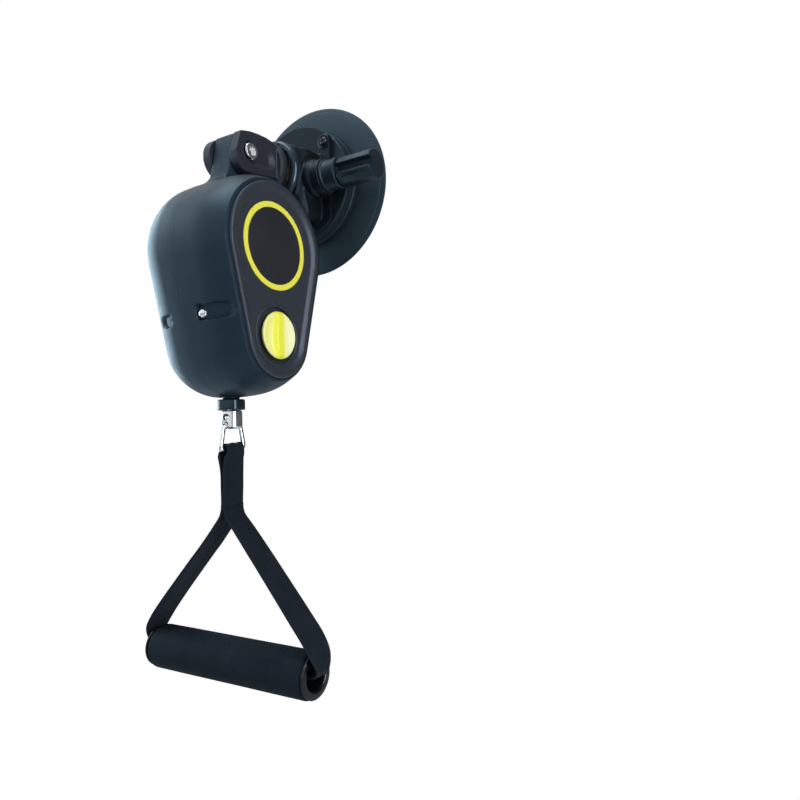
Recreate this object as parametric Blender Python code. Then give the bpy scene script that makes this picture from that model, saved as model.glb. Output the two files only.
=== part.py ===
"""Rope trainer on a suction cup: metres, +Z up, the wall is the plane y = 0 and the unit stands out along -Y."""

import math

import bmesh
import bpy
from mathutils import Matrix, Vector

for old in list(bpy.data.objects):
    bpy.data.objects.remove(old, do_unlink=True)

# Clearances
GAP = 0.0003
PAST = 0.003

# Suction cup and its cover
CUP_R = 0.0750
CUP_SEAT_R = 0.050
CUP_SEAT = 0.007
CUP_MEMBRANE = 0.003
CUP_POCKET_R = 0.0140
CUP_LIP_R = 0.0725
CUP_LIP = 0.0032
COVER_R = 0.0510
COVER_FRONT = -0.022
COVER_WALL = 0.003
ROD_R = 0.004
ROD_GUIDE_R = 0.009
STUD_HEAD_R = 0.0125
STUD_HEAD = 0.0025
STUD_TRAVEL = 0.004

# Bracket that is screwed to the cover
FLANGE_R = 0.050
FLANGE_HALF_WIDTH = 0.029
FLANGE_FRONT = -0.027
SCREW_SHANK_R = 0.0019
SCREW_HEAD_R = 0.0038
UPPER_SCREW_X = FLANGE_HALF_WIDTH - 0.006
UPPER_SCREW_Z = FLANGE_R - 0.013
LOWER_SCREW_X = 0.012
LOWER_SCREW_Z = -(FLANGE_R - 0.007)
BLOCK_HALF_WIDTH = 0.026
BLOCK_TOP = 0.022
BLOCK_LOW = LOWER_SCREW_Z + SCREW_HEAD_R + 0.0022
BLOCK_STRAIGHT_END = -0.045
BLOCK_END = -0.0555
NECK_R = 0.0150
NECK_END = -0.0615
COLLAR_R = 0.0270
COLLAR_END = -0.062

# Locking lever and its cam
LEVER_Y = -0.0375
LEVER_Z = -0.0045
SHAFT_R = 0.0055
CAM_R = 0.0085
CAM_OFFSET = 0.002
BUSH_R = 0.0116
BOSS_R = 0.0145
BOSS_END = 0.0405
SLEEVE_R = 0.0123
SLEEVE_END = 0.0553
HANDLE_R = 0.0114
HANDLE_START = 0.0563
HANDLE_END = 0.0890
FIN_TIP = 0.0905

# Swivel and yoke
SWIVEL_BOLT_R = 0.005
SWIVEL_HEAD_R = 0.008
SWIVEL_HEAD = 0.0055
WASHER_R = 0.017
WASHER = 0.003
YOKE_BASE_R = 0.0223
YOKE_BASE = 0.0072
EAR_INNER = 0.010
EAR_OUTER = 0.017
PIVOT_Y = -0.102
PIVOT_BOLT_R = 0.004
PIVOT_HEAD_R = 0.0065
COUNTERBORE_R = 0.008
COUNTERBORE = 0.003
PIVOT_BUSH_R = 0.0065

# Housing, cut at x = 0 into two shells
RING_Y = -0.111
RING_Z = -0.080
KNOB_Z = -0.145
PANEL_RING_R = 0.045
PANEL_KNOB_R = 0.0294
PANEL_FACE = 0.047
SHELL_NEAR_FACE = 0.044
SHELL_WALL = 0.003
FAR_ROUND = 0.033
FAR_ROUND_START = -0.014
CROWN = 0.0092
BODY_DROP = 0.004
WALL_SWELL = 0.06
LUG_HALF_WIDTH = 0.0094
BEARING_R = 0.009
BEARING_BOSS_R = 0.012
HOUSING_SCREW_Z = -0.129
HOUSING_SCREW_INSET = 0.0395
HOUSING_SCREW_SEAT = 0.0120
REAR_TROUGH_END = 0.0300

# Side panel, badge and knob
LIP_WIDTH = 0.003
PANEL_FLOOR = 0.0458
PANEL_BACK = 0.0443
BADGE_RING_R = 0.032
BADGE_RING_INNER = 0.0279
BADGE_SEAT = 0.0006
KNOB_R = 0.0175
KNOB_DISC = 0.0042
KNOB_DISH_R = 0.0205
KNOB_GRIP = 0.009
KNOB_GRIP_RISE = 0.004
KNOB_SCREW_R = 0.004
KNOB_COLLAR_R = 0.007

# Brake
BRAKE_TRAVEL = 0.0015
BRAKE_PLATE = 0.003
BRAKE_PLATE_HALF = 0.020
GUIDE_POST_Y = 0.014
GUIDE_POST_Z = -0.130
GUIDE_POST_R = 0.0025

# Rope, drum and return spring
ROPE_R = 0.00225
DRUM_HALF = 0.014
DRUM_CHEEK = 0.0023
DRUM_HUB_R = 0.018
DRUM_CHEEK_R = 0.034
WOUND_R = 0.029
AXLE_R = 0.004
CASE_R = 0.036
CASE_WALL = 0.0015
CASE_FLOOR = -0.0365
AXLE_START = -0.0425
AXLE_END = 0.0400
BEARING_LENGTH = 0.0055
SPRING_TURNS = 4
SPRING_STRIP = 0.0010

# Outlet, stop collar, swivel and ring
OUTLET_R = 0.00635
OUTLET_FLANGE_R = 0.0085
OUTLET_TOP = KNOB_Z - PANEL_KNOB_R - CROWN + 0.0046
OUTLET_FLANGE_LOW = OUTLET_TOP - 0.0040
OUTLET_END = OUTLET_FLANGE_LOW - 0.0062
STOP_R = 0.0093
STOP_TOP = OUTLET_END - 0.0004
STOP_END = STOP_TOP - 0.0064
EYE_BLOCK_R = 0.0077
EYE_BLOCK_TOP = STOP_END - GAP
EYE_BLOCK_END = EYE_BLOCK_TOP - 0.0102
PIN_R = 0.003
PIN_END = EYE_BLOCK_TOP - 0.0035
PIN_HEAD_R = 0.0048
TONGUE_HALF_X = 0.0028
TONGUE_HALF_Y = 0.0035
RING_WIRE_R = 0.0018
RING_TOP_Z = EYE_BLOCK_END - 0.0027
RING_BAR_Z = RING_TOP_Z - 0.0158
RING_TOP_HALF = 0.0082
RING_BAR_HALF = 0.0117
RING_BEND = 0.0020

# Webbing strap and grip
STRAP_HALF_WIDTH = 0.0125
STRAP_SEAM_HALF = 0.0103
STRAP_LOOP_HALF = 0.0086
STRAP_THICK = 0.0018
STRAP_SPLIT_Z = RING_BAR_Z - 0.0455
STRAP_LEAN = -0.0010
STRAP_MOUTH_HALF = 0.0085
GRIP_Z = RING_BAR_Z - 0.1570
GRIP_SHIFT = -0.0035
GRIP_HALF_LENGTH = 0.0785
GRIP_R = 0.0164
GRIP_BORE_R = 0.0097
TUBE_INNER_R = 0.0110
TUBE_R = 0.0122

# Facets of round pieces
FINE = 40
MEDIUM = 24
SMALL = 12

parts_group = bpy.data.collections.new("rope_trainer")
cutters_group = bpy.data.collections.new("rope_trainer_cutters")
bpy.context.scene.collection.children.link(parts_group)
bpy.context.scene.collection.children.link(cutters_group)

AXIS_TURN = {
    "X": Matrix.Rotation(math.radians(90), 4, "Y"),
    "Y": Matrix.Rotation(math.radians(-90), 4, "X"),
    "Z": Matrix.Identity(4),
}


def make_material(name, colour, metallic, roughness):
    made = bpy.data.materials.new(name)
    made.use_nodes = True
    shader = made.node_tree.nodes["Principled BSDF"]
    shader.inputs["Base Color"].default_value = (*colour, 1.0)
    shader.inputs["Metallic"].default_value = metallic
    shader.inputs["Roughness"].default_value = roughness
    return made


LOOKS = {
    "cup_rubber": ((0.030, 0.040, 0.046), 0.0, 0.55),
    "black_plastic": ((0.022, 0.028, 0.032), 0.0, 0.45),
    "housing_plastic": ((0.020, 0.028, 0.033), 0.0, 0.42),
    "panel_plastic": ((0.045, 0.043, 0.047), 0.0, 0.50),
    "yellow_plastic": ((0.850, 0.740, 0.080), 0.0, 0.35),
    "chrome_steel": ((0.80, 0.80, 0.80), 1.0, 0.12),
    "plain_steel": ((0.55, 0.55, 0.56), 1.0, 0.35),
    "webbing": ((0.015, 0.015, 0.017), 0.0, 0.85),
    "rope_braid": ((0.020, 0.020, 0.022), 0.0, 0.80),
    "foam": ((0.018, 0.018, 0.020), 0.0, 0.80),
    "friction_lining": ((0.120, 0.085, 0.060), 0.0, 0.85),
    "bronze": ((0.60, 0.42, 0.20), 1.0, 0.35),
}
MATERIALS = {name: make_material(name, *look) for name, look in LOOKS.items()}


def finish(name, bm, look, group):
    """Turns the mesh into an object with its own look."""
    bmesh.ops.remove_doubles(bm, verts=bm.verts, dist=0.000002)
    bmesh.ops.recalc_face_normals(bm, faces=bm.faces)
    mesh = bpy.data.meshes.new(name)
    bm.to_mesh(mesh)
    bm.free()
    made = bpy.data.objects.new(name, mesh)
    group.objects.link(made)
    if look:
        mesh.materials.append(MATERIALS[look])
    mesh.shade_smooth()
    mesh.set_sharp_from_angle(angle=math.radians(32))
    if group is cutters_group:
        made.hide_render = True
        made.display_type = "WIRE"
    return made


def revolve(name, profile, axis, centre, look=None, steps=MEDIUM, group=None):
    """Turns (radius, distance along the axis) points about an axis; a profile that leaves the axis is closed."""
    bm = bmesh.new()
    ring = [bm.verts.new((radius, 0.0, along)) for radius, along in profile]
    edges = [bm.edges.new(pair) for pair in zip(ring, ring[1:])]
    if profile[0][0] > 0 or profile[-1][0] > 0:
        edges.append(bm.edges.new((ring[-1], ring[0])))
    turned = {"cent": (0, 0, 0), "axis": (0, 0, 1), "angle": math.tau, "steps": steps, "use_merge": True}
    bmesh.ops.spin(bm, geom=ring + edges, **turned)
    bmesh.ops.dissolve_degenerate(bm, edges=bm.edges, dist=0.000001)
    bm.transform(Matrix.Translation(centre) @ AXIS_TURN[axis])
    return finish(name, bm, look, group or parts_group)


def rod(name, radius, low, high, axis, centre, look=None, steps=MEDIUM, group=None):
    """A solid cylinder between two places on an axis."""
    profile = [(0.0, low), (radius, low), (radius, high), (0.0, high)]
    return revolve(name, profile, axis, centre, look, steps, group)


def tube(name, inner, outer, low, high, axis, centre, look=None, steps=MEDIUM, group=None):
    """A plain ring or tube."""
    profile = [(inner, low), (outer, low), (outer, high), (inner, high)]
    return revolve(name, profile, axis, centre, look, steps, group)


def box(name, low, high, look=None, group=None):
    bm = bmesh.new()
    bmesh.ops.create_cube(bm, size=1.0)
    size = [b - a for a, b in zip(low, high)]
    middle = [(a + b) / 2 for a, b in zip(low, high)]
    bm.transform(Matrix.Translation(middle) @ Matrix.Diagonal((*size, 1.0)))
    return finish(name, bm, look, group or parts_group)


def prism(name, outline, low, high, axis="X", look=None, group=None):
    """Extrudes an outline, given as (y, z) for X and (x, z) for Y."""
    bm = bmesh.new()
    if axis == "X":
        corners = [(low, y, z) for y, z in outline]
        shift = (high - low, 0, 0)
    else:
        corners = [(x, low, z) for x, z in outline]
        shift = (0, high - low, 0)
    face = bm.faces.new([bm.verts.new(corner) for corner in corners])
    grown = bmesh.ops.extrude_face_region(bm, geom=[face], use_keep_orig=True)
    far_side = [v for v in grown["geom"] if isinstance(v, bmesh.types.BMVert)]
    bmesh.ops.translate(bm, verts=far_side, vec=shift)
    return finish(name, bm, look, group or parts_group)


def loft(name, rings, look=None, group=None):
    """Skins sections that have the same count of points and caps both ends."""
    bm = bmesh.new()
    rows = [[bm.verts.new(point) for point in ring] for ring in rings]
    count = len(rows[0])
    for row, following in zip(rows, rows[1:]):
        for i in range(count):
            j = (i + 1) % count
            bm.faces.new((row[i], row[j], following[j], following[i]))
    bm.faces.new(rows[0])
    bm.faces.new(rows[-1])
    return finish(name, bm, look, group or parts_group)


def boolean(target, tools, operation):
    for tool in tools:
        change = target.modifiers.new(tool.name, "BOOLEAN")
        change.operation = operation
        change.solver = "EXACT"
        change.object = tool


def cut(target, *tools):
    boolean(target, tools, "DIFFERENCE")


def join(target, *tools):
    boolean(target, tools, "UNION")


def arc(centre, radius, start, end, count):
    """Points on an arc, angles in degrees."""
    points = []
    for i in range(count):
        angle = math.radians(start + (end - start) * i / (count - 1))
        points.append((centre[0] + radius * math.cos(angle), centre[1] + radius * math.sin(angle)))
    return points


# Suction cup, cover and the stud that the cam pulls


def suction_cup():
    profile = [
        (0.0, 0.0),
        (CUP_LIP_R, 0.0),
        (CUP_R, -0.0009),
        (CUP_R, -0.0022),
        (CUP_LIP_R, -CUP_LIP),
        (CUP_SEAT_R + 0.002, -CUP_SEAT),
        (CUP_POCKET_R, -CUP_SEAT),
        (CUP_POCKET_R, -CUP_MEMBRANE),
        (0.0, -CUP_MEMBRANE),
    ]
    revolve("suction_cup", profile, "Y", (0, 0, 0), "cup_rubber", FINE)


def cup_cover():
    back = -CUP_SEAT - GAP
    inside = COVER_FRONT + COVER_WALL
    guide_end = inside + 0.0070
    rim = COVER_R - COVER_WALL
    profile = [
        (ROD_R + GAP, COVER_FRONT),
        (COVER_R - 0.0015, COVER_FRONT),
        (COVER_R, COVER_FRONT + 0.0015),
        (COVER_R, back),
        (rim, back),
        (rim, inside),
        (ROD_GUIDE_R, inside),
        (ROD_GUIDE_R, guide_end),
        (ROD_R + GAP, guide_end),
    ]
    cover = revolve("cup_cover", profile, "Y", (0, 0, 0), "black_plastic", FINE)
    for i, (x, z) in enumerate(flange_screw_places()):
        reach = (0.0052, inside - 0.001, back)
        join(cover, rod(f"cover_post_{i}", *reach, "Y", (x, 0, z), steps=SMALL, group=cutters_group))
    for i, (x, z) in enumerate(flange_screw_places()):
        reach = (SCREW_SHANK_R + GAP, COVER_FRONT - PAST, COVER_FRONT + 0.0105)
        cut(cover, rod(f"cover_hole_{i}", *reach, "Y", (x, 0, z), steps=SMALL, group=cutters_group))


def flange_screw_places():
    upper = [(side * UPPER_SCREW_X, UPPER_SCREW_Z) for side in (1, -1)]
    lower = [(side * LOWER_SCREW_X, LOWER_SCREW_Z) for side in (1, -1)]
    return upper + lower


def stud_window():
    """Half sizes and centre height of the window in the stud's plate that the cam turns in."""
    half_y = CAM_R + GAP
    half_z = CAM_R + 0.0012
    middle_y = LEVER_Y + CAM_OFFSET
    middle_z = LEVER_Z + CAM_OFFSET * (1 + math.sqrt(2)) / 2
    return middle_y, middle_z, half_y, half_z


def pull_stud():
    head_back = -CUP_MEMBRANE - GAP
    head_front = head_back - STUD_HEAD
    middle_y, middle_z, half_y, half_z = stud_window()
    rim = 0.004
    plate_back = middle_y + half_y + rim
    profile = [
        (0.0, head_back),
        (STUD_HEAD_R, head_back),
        (STUD_HEAD_R, head_front),
        (ROD_R, head_front - 0.0015),
        (ROD_R, plate_back - 0.002),
        (0.0, plate_back - 0.002),
    ]
    stud = revolve("pull_stud", profile, "Y", (0, 0, 0), "plain_steel", SMALL)
    plate_low = (-0.003, middle_y - half_y - rim, middle_z - half_z - rim)
    plate_high = (0.003, plate_back, middle_z + half_z + rim)
    join(stud, box("stud_plate", plate_low, plate_high, group=cutters_group))
    window_low = (-PAST - 0.003, middle_y - half_y, middle_z - half_z)
    window_high = (PAST + 0.003, middle_y + half_y, middle_z + half_z)
    cut(stud, box("stud_window", window_low, window_high, group=cutters_group))


# Bracket


def rounded_section(y, half_width, low, high, corner, steps=7):
    """A rectangle with rounded corners in a plane of constant y."""
    points = []
    places = [
        (half_width - corner, high - corner, 0),
        (-half_width + corner, high - corner, 90),
        (-half_width + corner, low + corner, 180),
        (half_width - corner, low + corner, 270),
    ]
    for x, z, start in places:
        for px, pz in arc((x, z), corner, start, start + 90, steps):
            points.append((px, y, pz))
    return points


def bracket():
    half_angle = math.degrees(math.acos(FLANGE_HALF_WIDTH / FLANGE_R))
    outline = arc((0, 0), FLANGE_R, half_angle, 180 - half_angle, 21)
    outline += arc((0, 0), FLANGE_R, 180 + half_angle, 360 - half_angle, 21)
    body = prism("bracket", outline, COVER_FRONT - GAP, FLANGE_FRONT, "Y", "black_plastic")
    near_collar = COLLAR_R - 0.0008
    rings = [
        rounded_section(FLANGE_FRONT + 0.002, BLOCK_HALF_WIDTH, BLOCK_LOW, BLOCK_TOP, 0.004),
        rounded_section(BLOCK_STRAIGHT_END, BLOCK_HALF_WIDTH, BLOCK_LOW, BLOCK_TOP, 0.005),
        rounded_section(BLOCK_END + 0.005, 0.0255, BLOCK_LOW + 0.0045, BLOCK_TOP + 0.0012, 0.014),
        rounded_section(BLOCK_END + 0.002, near_collar, -near_collar - 0.001, near_collar, near_collar - 0.0001),
        rounded_section(BLOCK_END, near_collar, -near_collar, near_collar, near_collar - 0.0001),
    ]
    join(body, loft("bracket_block", rings, group=cutters_group))
    lever_centre = (0, LEVER_Y, LEVER_Z)
    middle = (0, 0, 0)
    join(
        body,
        rod("bracket_boss", BOSS_R, 0.020, BOSS_END, "X", lever_centre, group=cutters_group),
        rod("bracket_neck", NECK_R, BLOCK_END + 0.004, NECK_END, "Y", middle, group=cutters_group),
    )
    middle_y, middle_z, half_y, half_z = stud_window()
    reach = 0.0045 + 2 * GAP
    slot_low = (-0.0036, middle_y - half_y - reach - STUD_TRAVEL, middle_z - half_z - reach)
    slot_high = (0.0036, COVER_FRONT + PAST, middle_z + half_z + reach)
    rod_way = (ROD_R + GAP, -0.030, COVER_FRONT + PAST)
    bolt_way = (SWIVEL_BOLT_R + GAP, NECK_END - PAST, swivel_bolt_tip() + GAP)
    cut(
        body,
        box("bracket_slot", slot_low, slot_high, group=cutters_group),
        rod("bracket_rod_hole", *rod_way, "Y", middle, steps=SMALL, group=cutters_group),
        rod("bracket_bush_bore", BUSH_R + GAP, 0.0, BOSS_END + PAST, "X", lever_centre, group=cutters_group),
        rod("bracket_shaft_bore", SHAFT_R + GAP, -0.020, 0.005, "X", lever_centre, group=cutters_group),
        rod("bracket_bolt_bore", *bolt_way, "Y", middle, steps=SMALL, group=cutters_group),
    )
    screw_reach = (SCREW_SHANK_R + GAP, FLANGE_FRONT - PAST, COVER_FRONT + PAST)
    for i, (x, z) in enumerate(flange_screw_places()):
        cut(body, rod(f"flange_hole_{i}", *screw_reach, "Y", (x, 0, z), steps=SMALL, group=cutters_group))


def flange_screws():
    for i, (x, z) in enumerate(flange_screw_places()):
        seat = FLANGE_FRONT - GAP
        profile = [
            (0.0, seat - 0.0022),
            (SCREW_HEAD_R - 0.0012, seat - 0.0022),
            (SCREW_HEAD_R, seat - 0.0012),
            (SCREW_HEAD_R, seat),
            (SCREW_SHANK_R, seat),
            (SCREW_SHANK_R, COVER_FRONT + 0.010),
            (0.0, COVER_FRONT + 0.010),
        ]
        revolve(f"flange_screw_{i + 1}", profile, "Y", (x, 0, z), "plain_steel", SMALL)


# Locking lever


def lever():
    centre = (0, LEVER_Y, LEVER_Z)
    bush_start = 0.006
    tube("lever_bush", SHAFT_R + GAP, BUSH_R, bush_start, BOSS_END, "X", centre, "bronze")
    shaft = rod("cam_shaft", SHAFT_R, -0.019, HANDLE_START + 0.012, "X", centre, "plain_steel")
    cam_centre = (0, LEVER_Y + CAM_OFFSET, LEVER_Z + CAM_OFFSET)
    join(shaft, rod("cam_lobe", CAM_R, -0.0033, bush_start - GAP, "X", cam_centre, group=cutters_group))
    bore = SHAFT_R + GAP
    profile = [
        (bore, BOSS_END + GAP),
        (SLEEVE_R + 0.0012, BOSS_END + GAP),
        (SLEEVE_R + 0.0012, BOSS_END + 0.0018),
        (SLEEVE_R, BOSS_END + 0.0024),
        (SLEEVE_R, SLEEVE_END - 0.0006),
        (SLEEVE_R - 0.0006, SLEEVE_END),
        (bore, SLEEVE_END),
    ]
    revolve("lever_sleeve", profile, "X", centre, "black_plastic")
    blind = HANDLE_START + 0.0125
    profile = [
        (bore, HANDLE_START),
        (HANDLE_R - 0.0008, HANDLE_START),
        (HANDLE_R, HANDLE_START + 0.0008),
        (HANDLE_R, HANDLE_END - 0.001),
        (HANDLE_R - 0.001, HANDLE_END),
        (0.0, HANDLE_END),
        (0.0, blind),
        (bore, blind),
    ]
    handle = revolve("lever_handle", profile, "X", centre, "panel_plastic")
    low = LEVER_Z - HANDLE_R
    fin = prism(
        "handle_fin",
        [
            (HANDLE_START + 0.0005, low + 0.0001),
            (FIN_TIP, low + 0.0001),
            (HANDLE_END - 0.001, low + 0.0045),
            (HANDLE_START + 0.0005, low + 0.0030),
        ],
        LEVER_Y - 0.0100,
        LEVER_Y + 0.0060,
        "Y",
        group=cutters_group,
    )
    join(handle, fin)
    groove_low = (HANDLE_START - PAST, LEVER_Y - HANDLE_R - PAST, low + 0.0036)
    groove_high = (HANDLE_END - 0.0015, LEVER_Y - HANDLE_R + 0.0036, LEVER_Z - 0.0018)
    cut(handle, box("handle_groove", groove_low, groove_high, group=cutters_group))


# Swivel and yoke


def swivel_bolt_tip():
    return NECK_END + 0.0065


def yoke_back():
    return COLLAR_END - GAP - WASHER - GAP


def swivel():
    profile = [
        (NECK_R + GAP, BLOCK_END - GAP),
        (COLLAR_R - 0.0004, BLOCK_END - GAP),
        (COLLAR_R, BLOCK_END - 0.001),
        (COLLAR_R, COLLAR_END + 0.0012),
        (COLLAR_R - 0.0012, COLLAR_END),
        (NECK_R + GAP, COLLAR_END),
    ]
    revolve("swivel_collar", profile, "Y", (0, 0, 0), "black_plastic", FINE)
    bore = SWIVEL_BOLT_R + GAP
    tube("swivel_washer", bore, WASHER_R, COLLAR_END - GAP - WASHER, COLLAR_END - GAP, "Y", (0, 0, 0), "bronze")
    seat = yoke_back() - YOKE_BASE - GAP
    profile = [
        (0.0, swivel_bolt_tip()),
        (SWIVEL_BOLT_R, swivel_bolt_tip()),
        (SWIVEL_BOLT_R, seat),
        (SWIVEL_HEAD_R, seat),
        (SWIVEL_HEAD_R, seat - SWIVEL_HEAD + 0.001),
        (SWIVEL_HEAD_R - 0.001, seat - SWIVEL_HEAD),
        (0.0, seat - SWIVEL_HEAD),
    ]
    revolve("swivel_bolt", profile, "Y", (0, 0, 0), "plain_steel", SMALL)


def ear_outline(side):
    """An ear's side view as (y, z); the near one has a sharp top corner, the far one a round end."""
    root = yoke_back() - 0.002
    if side > 0:
        points = [(PIVOT_Y - 0.0105, 0.0130), (PIVOT_Y - 0.0158, -0.0035), (PIVOT_Y - 0.0152, -0.0085)]
        points += arc((PIVOT_Y - 0.0048, -0.0072), 0.0102, 200, 262, 6)
    else:
        points = arc((PIVOT_Y - 0.0010, -0.0010), 0.0158, 95, 250, 10)
    points += [(PIVOT_Y + 0.0090, -0.0150), (PIVOT_Y + 0.0210, -0.0130), (root, -0.0115), (root, 0.0125)]
    points += [(PIVOT_Y + 0.0260, 0.0160), (PIVOT_Y + 0.0180, 0.0170), (PIVOT_Y + 0.0090, 0.0168)]
    if side > 0:
        points.append((PIVOT_Y - 0.0010, 0.0156))
    return points


def yoke():
    back = yoke_back()
    profile = [
        (SWIVEL_BOLT_R + GAP, back),
        (YOKE_BASE_R - 0.0012, back),
        (YOKE_BASE_R, back - 0.0012),
        (YOKE_BASE_R, back - YOKE_BASE + 0.0015),
        (YOKE_BASE_R - 0.0015, back - YOKE_BASE),
        (SWIVEL_BOLT_R + GAP, back - YOKE_BASE),
    ]
    body = revolve("yoke", profile, "Y", (0, 0, 0), "panel_plastic", FINE)
    centre = (0, PIVOT_Y, 0)
    for side, name in ((1, "near"), (-1, "far")):
        reach = (side * EAR_INNER, side * EAR_OUTER)
        join(body, prism(f"yoke_ear_{name}", ear_outline(side), *reach, "X", group=cutters_group))
    for side, name in ((1, "near"), (-1, "far")):
        seat = side * (EAR_OUTER - COUNTERBORE)
        out = side * (EAR_OUTER + PAST)
        reach = (COUNTERBORE_R, min(seat, out), max(seat, out))
        bore_tool = rod(f"yoke_counterbore_{name}", *reach, "X", centre, group=cutters_group)
        relief_low = side * (EAR_OUTER - 0.0008)
        relief = prism(f"yoke_relief_{name}", relief_outline(), relief_low, out, "X", group=cutters_group)
        cut(body, bore_tool, relief)
    through = EAR_OUTER + PAST
    reach = (PIVOT_BOLT_R + GAP, -through, through)
    cut(body, rod("yoke_bolt_hole", *reach, "X", centre, steps=SMALL, group=cutters_group))


def relief_outline():
    """The shallow stadium on the ear's outer face, from the bolt hole toward the base."""
    return arc((PIVOT_Y + 0.003, 0.0), 0.0098, 110, 250, 12) + arc((PIVOT_Y + 0.0185, 0.0), 0.0088, -80, 80, 12)


def pivot():
    centre = (0, PIVOT_Y, 0)
    seat = EAR_OUTER - COUNTERBORE + GAP
    profile = [
        (0.0, -seat - 0.0045),
        (PIVOT_BOLT_R, -seat - 0.0045),
        (PIVOT_BOLT_R, seat),
        (PIVOT_HEAD_R, seat),
        (PIVOT_HEAD_R, seat + 0.0035),
        (PIVOT_HEAD_R - 0.0008, seat + 0.0042),
        (0.0032, seat + 0.0042),
        (0.0032, seat + 0.0017),
        (0.0, seat + 0.0017),
    ]
    revolve("pivot_bolt", profile, "X", centre, "chrome_steel")
    nut_outline = arc((PIVOT_Y, 0.0), 0.0070, 0, 300, 6)
    nut = prism("pivot_nut", nut_outline, -seat - 0.0050, -seat, "X", "chrome_steel")
    nut_way = (PIVOT_BOLT_R + GAP, -seat - 0.0050 - PAST, -seat + PAST)
    cut(nut, rod("nut_bore", *nut_way, "X", centre, steps=SMALL, group=cutters_group))
    half = LUG_HALF_WIDTH - 0.0001
    tube("pivot_bush", PIVOT_BOLT_R + GAP, PIVOT_BUSH_R, -half, half, "X", centre, "bronze", SMALL)


# Housing


def teardrop(x, offset, drop=0.0, big=24, small=16, straight=3):
    """The housing's side view at one x, grown outward by offset, its lower round dropped by drop."""
    low = KNOB_Z - drop
    tilt = math.degrees(math.asin((PANEL_RING_R - PANEL_KNOB_R) / (RING_Z - low)))
    upper = arc((RING_Y, RING_Z), PANEL_RING_R + offset, -tilt, 180 + tilt, big)
    lower = arc((RING_Y, low), PANEL_KNOB_R + offset, 180 + tilt, 360 - tilt, small)
    points = list(upper)
    for i in range(1, straight):
        share = i / straight
        points.append(tuple(a + (b - a) * share for a, b in zip(upper[-1], lower[0])))
    points += lower
    for i in range(1, straight):
        share = i / straight
        points.append(tuple(a + (b - a) * share for a, b in zip(lower[-1], upper[0])))
    return [(x, y, z) for y, z in points]


def bulge(x):
    """How far the housing stands outside the panel's outline at x."""
    if x >= 0:
        edge = max(0.0, (x - 0.028) / (SHELL_NEAR_FACE - 0.028))
        return CROWN - 0.0048 * (1 - math.sqrt(max(0.0, 1 - edge**4)))
    if x > FAR_ROUND_START:
        return CROWN - 0.0010 * (x / FAR_ROUND_START) ** 2
    lean = min(1.0, (FAR_ROUND_START - x) / FAR_ROUND)
    return CROWN - 0.0010 - FAR_ROUND * (1 - math.sqrt(1 - lean * lean))


def body_section(x, inset=0.0):
    """The housing's outline at x: fuller toward the wall, and dropped less toward its two sides."""
    drop = BODY_DROP * (1 - min(1.0, abs(x) / SHELL_NEAR_FACE) ** 2)
    outline = teardrop(x, bulge(x) - inset, drop)
    return [(x, y + WALL_SWELL * max(0.0, y - RING_Y), z) for x, y, z in outline]


def near_stations(end):
    return [0.010, 0.020, 0.030, 0.036, 0.040, end]


def far_stations(end):
    last = math.degrees(math.asin(min(1.0, (FAR_ROUND_START - end) / FAR_ROUND)))
    rounds = [FAR_ROUND_START - FAR_ROUND * math.sin(math.radians(last * i / 7)) for i in range(8)]
    return [-0.009] + rounds


def lug_outline():
    """The hinge lug's side view as (y, z)."""
    points = [(PIVOT_Y + 0.0120, -0.0400), (PIVOT_Y + 0.0130, -0.0060)]
    points += arc((PIVOT_Y, 0.0), 0.0128, -20, 100, 9)
    for toward_wall, z in ((-0.0105, 0.0128), (-0.0130, 0.0020), (-0.0152, -0.0120), (-0.0195, -0.0260)):
        points.append((PIVOT_Y + toward_wall, z))
    points.append((PIVOT_Y - 0.0260, -0.0400))
    return points


def lug_foot(start, side):
    """Sections of the spread foot under the lug, from its waist down into the housing."""
    halves = (0.0096, 0.0130, 0.0200, 0.0300) if side > 0 else (0.0125, 0.0225, 0.0320, 0.0390)
    heights = (-0.0210, -0.0245, -0.0285, -0.0335)
    forward = (0.0170, 0.0195, 0.0230, 0.0270)
    back = (0.0130, 0.0150, 0.0180, 0.0220)
    rings = []
    for z, half, ahead, behind in zip(heights, halves, forward, back):
        wide = side * half
        front = PIVOT_Y - ahead
        rear = PIVOT_Y + behind
        rings.append([(start, front, z), (wide, front + 0.004, z), (wide, rear - 0.003, z), (start, rear, z)])
    return rings


def screw_places():
    """The two housing screws' y, in front of and behind the mid-line."""
    return {"front": RING_Y - HOUSING_SCREW_INSET, "rear": RING_Y + HOUSING_SCREW_INSET}


def screw_way(name, y, low, high, radius):
    """A bore that opens outward through the housing's flank."""
    outward = math.copysign(1.0, y - RING_Y)
    start = 90 if outward > 0 else -90
    outline = arc((y, HOUSING_SCREW_Z), radius, start, start + 180, 13)
    away = y + outward * 0.020
    outline += [(away, outline[-1][1]), (away, outline[0][1])]
    return prism(name, outline, low, high, "X", group=cutters_group)


def shell(name, stations, inner_stations, side, bosses):
    """One half of the housing: a skin and half a lug, less a hollow that leaves the bosses standing."""
    start = side * GAP / 2
    rings = [body_section(x) for x in [start] + stations]
    body = loft(name, rings, "housing_plastic")
    join(body, prism(f"{name}_lug", lug_outline(), start, side * LUG_HALF_WIDTH, "X", group=cutters_group))
    join(body, loft(f"{name}_lug_foot", lug_foot(start, side), group=cutters_group))
    inside = [body_section(x, SHELL_WALL) for x in [-side * PAST] + inner_stations]
    hollow = loft(f"{name}_hollow", inside, group=cutters_group)
    cut(hollow, *bosses)
    cut(body, hollow)
    return body


def screw_boss(name, y, radius, low, high):
    centre = (0, y, HOUSING_SCREW_Z)
    return rod(name, radius, low, high, "X", centre, steps=SMALL, group=cutters_group)


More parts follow.
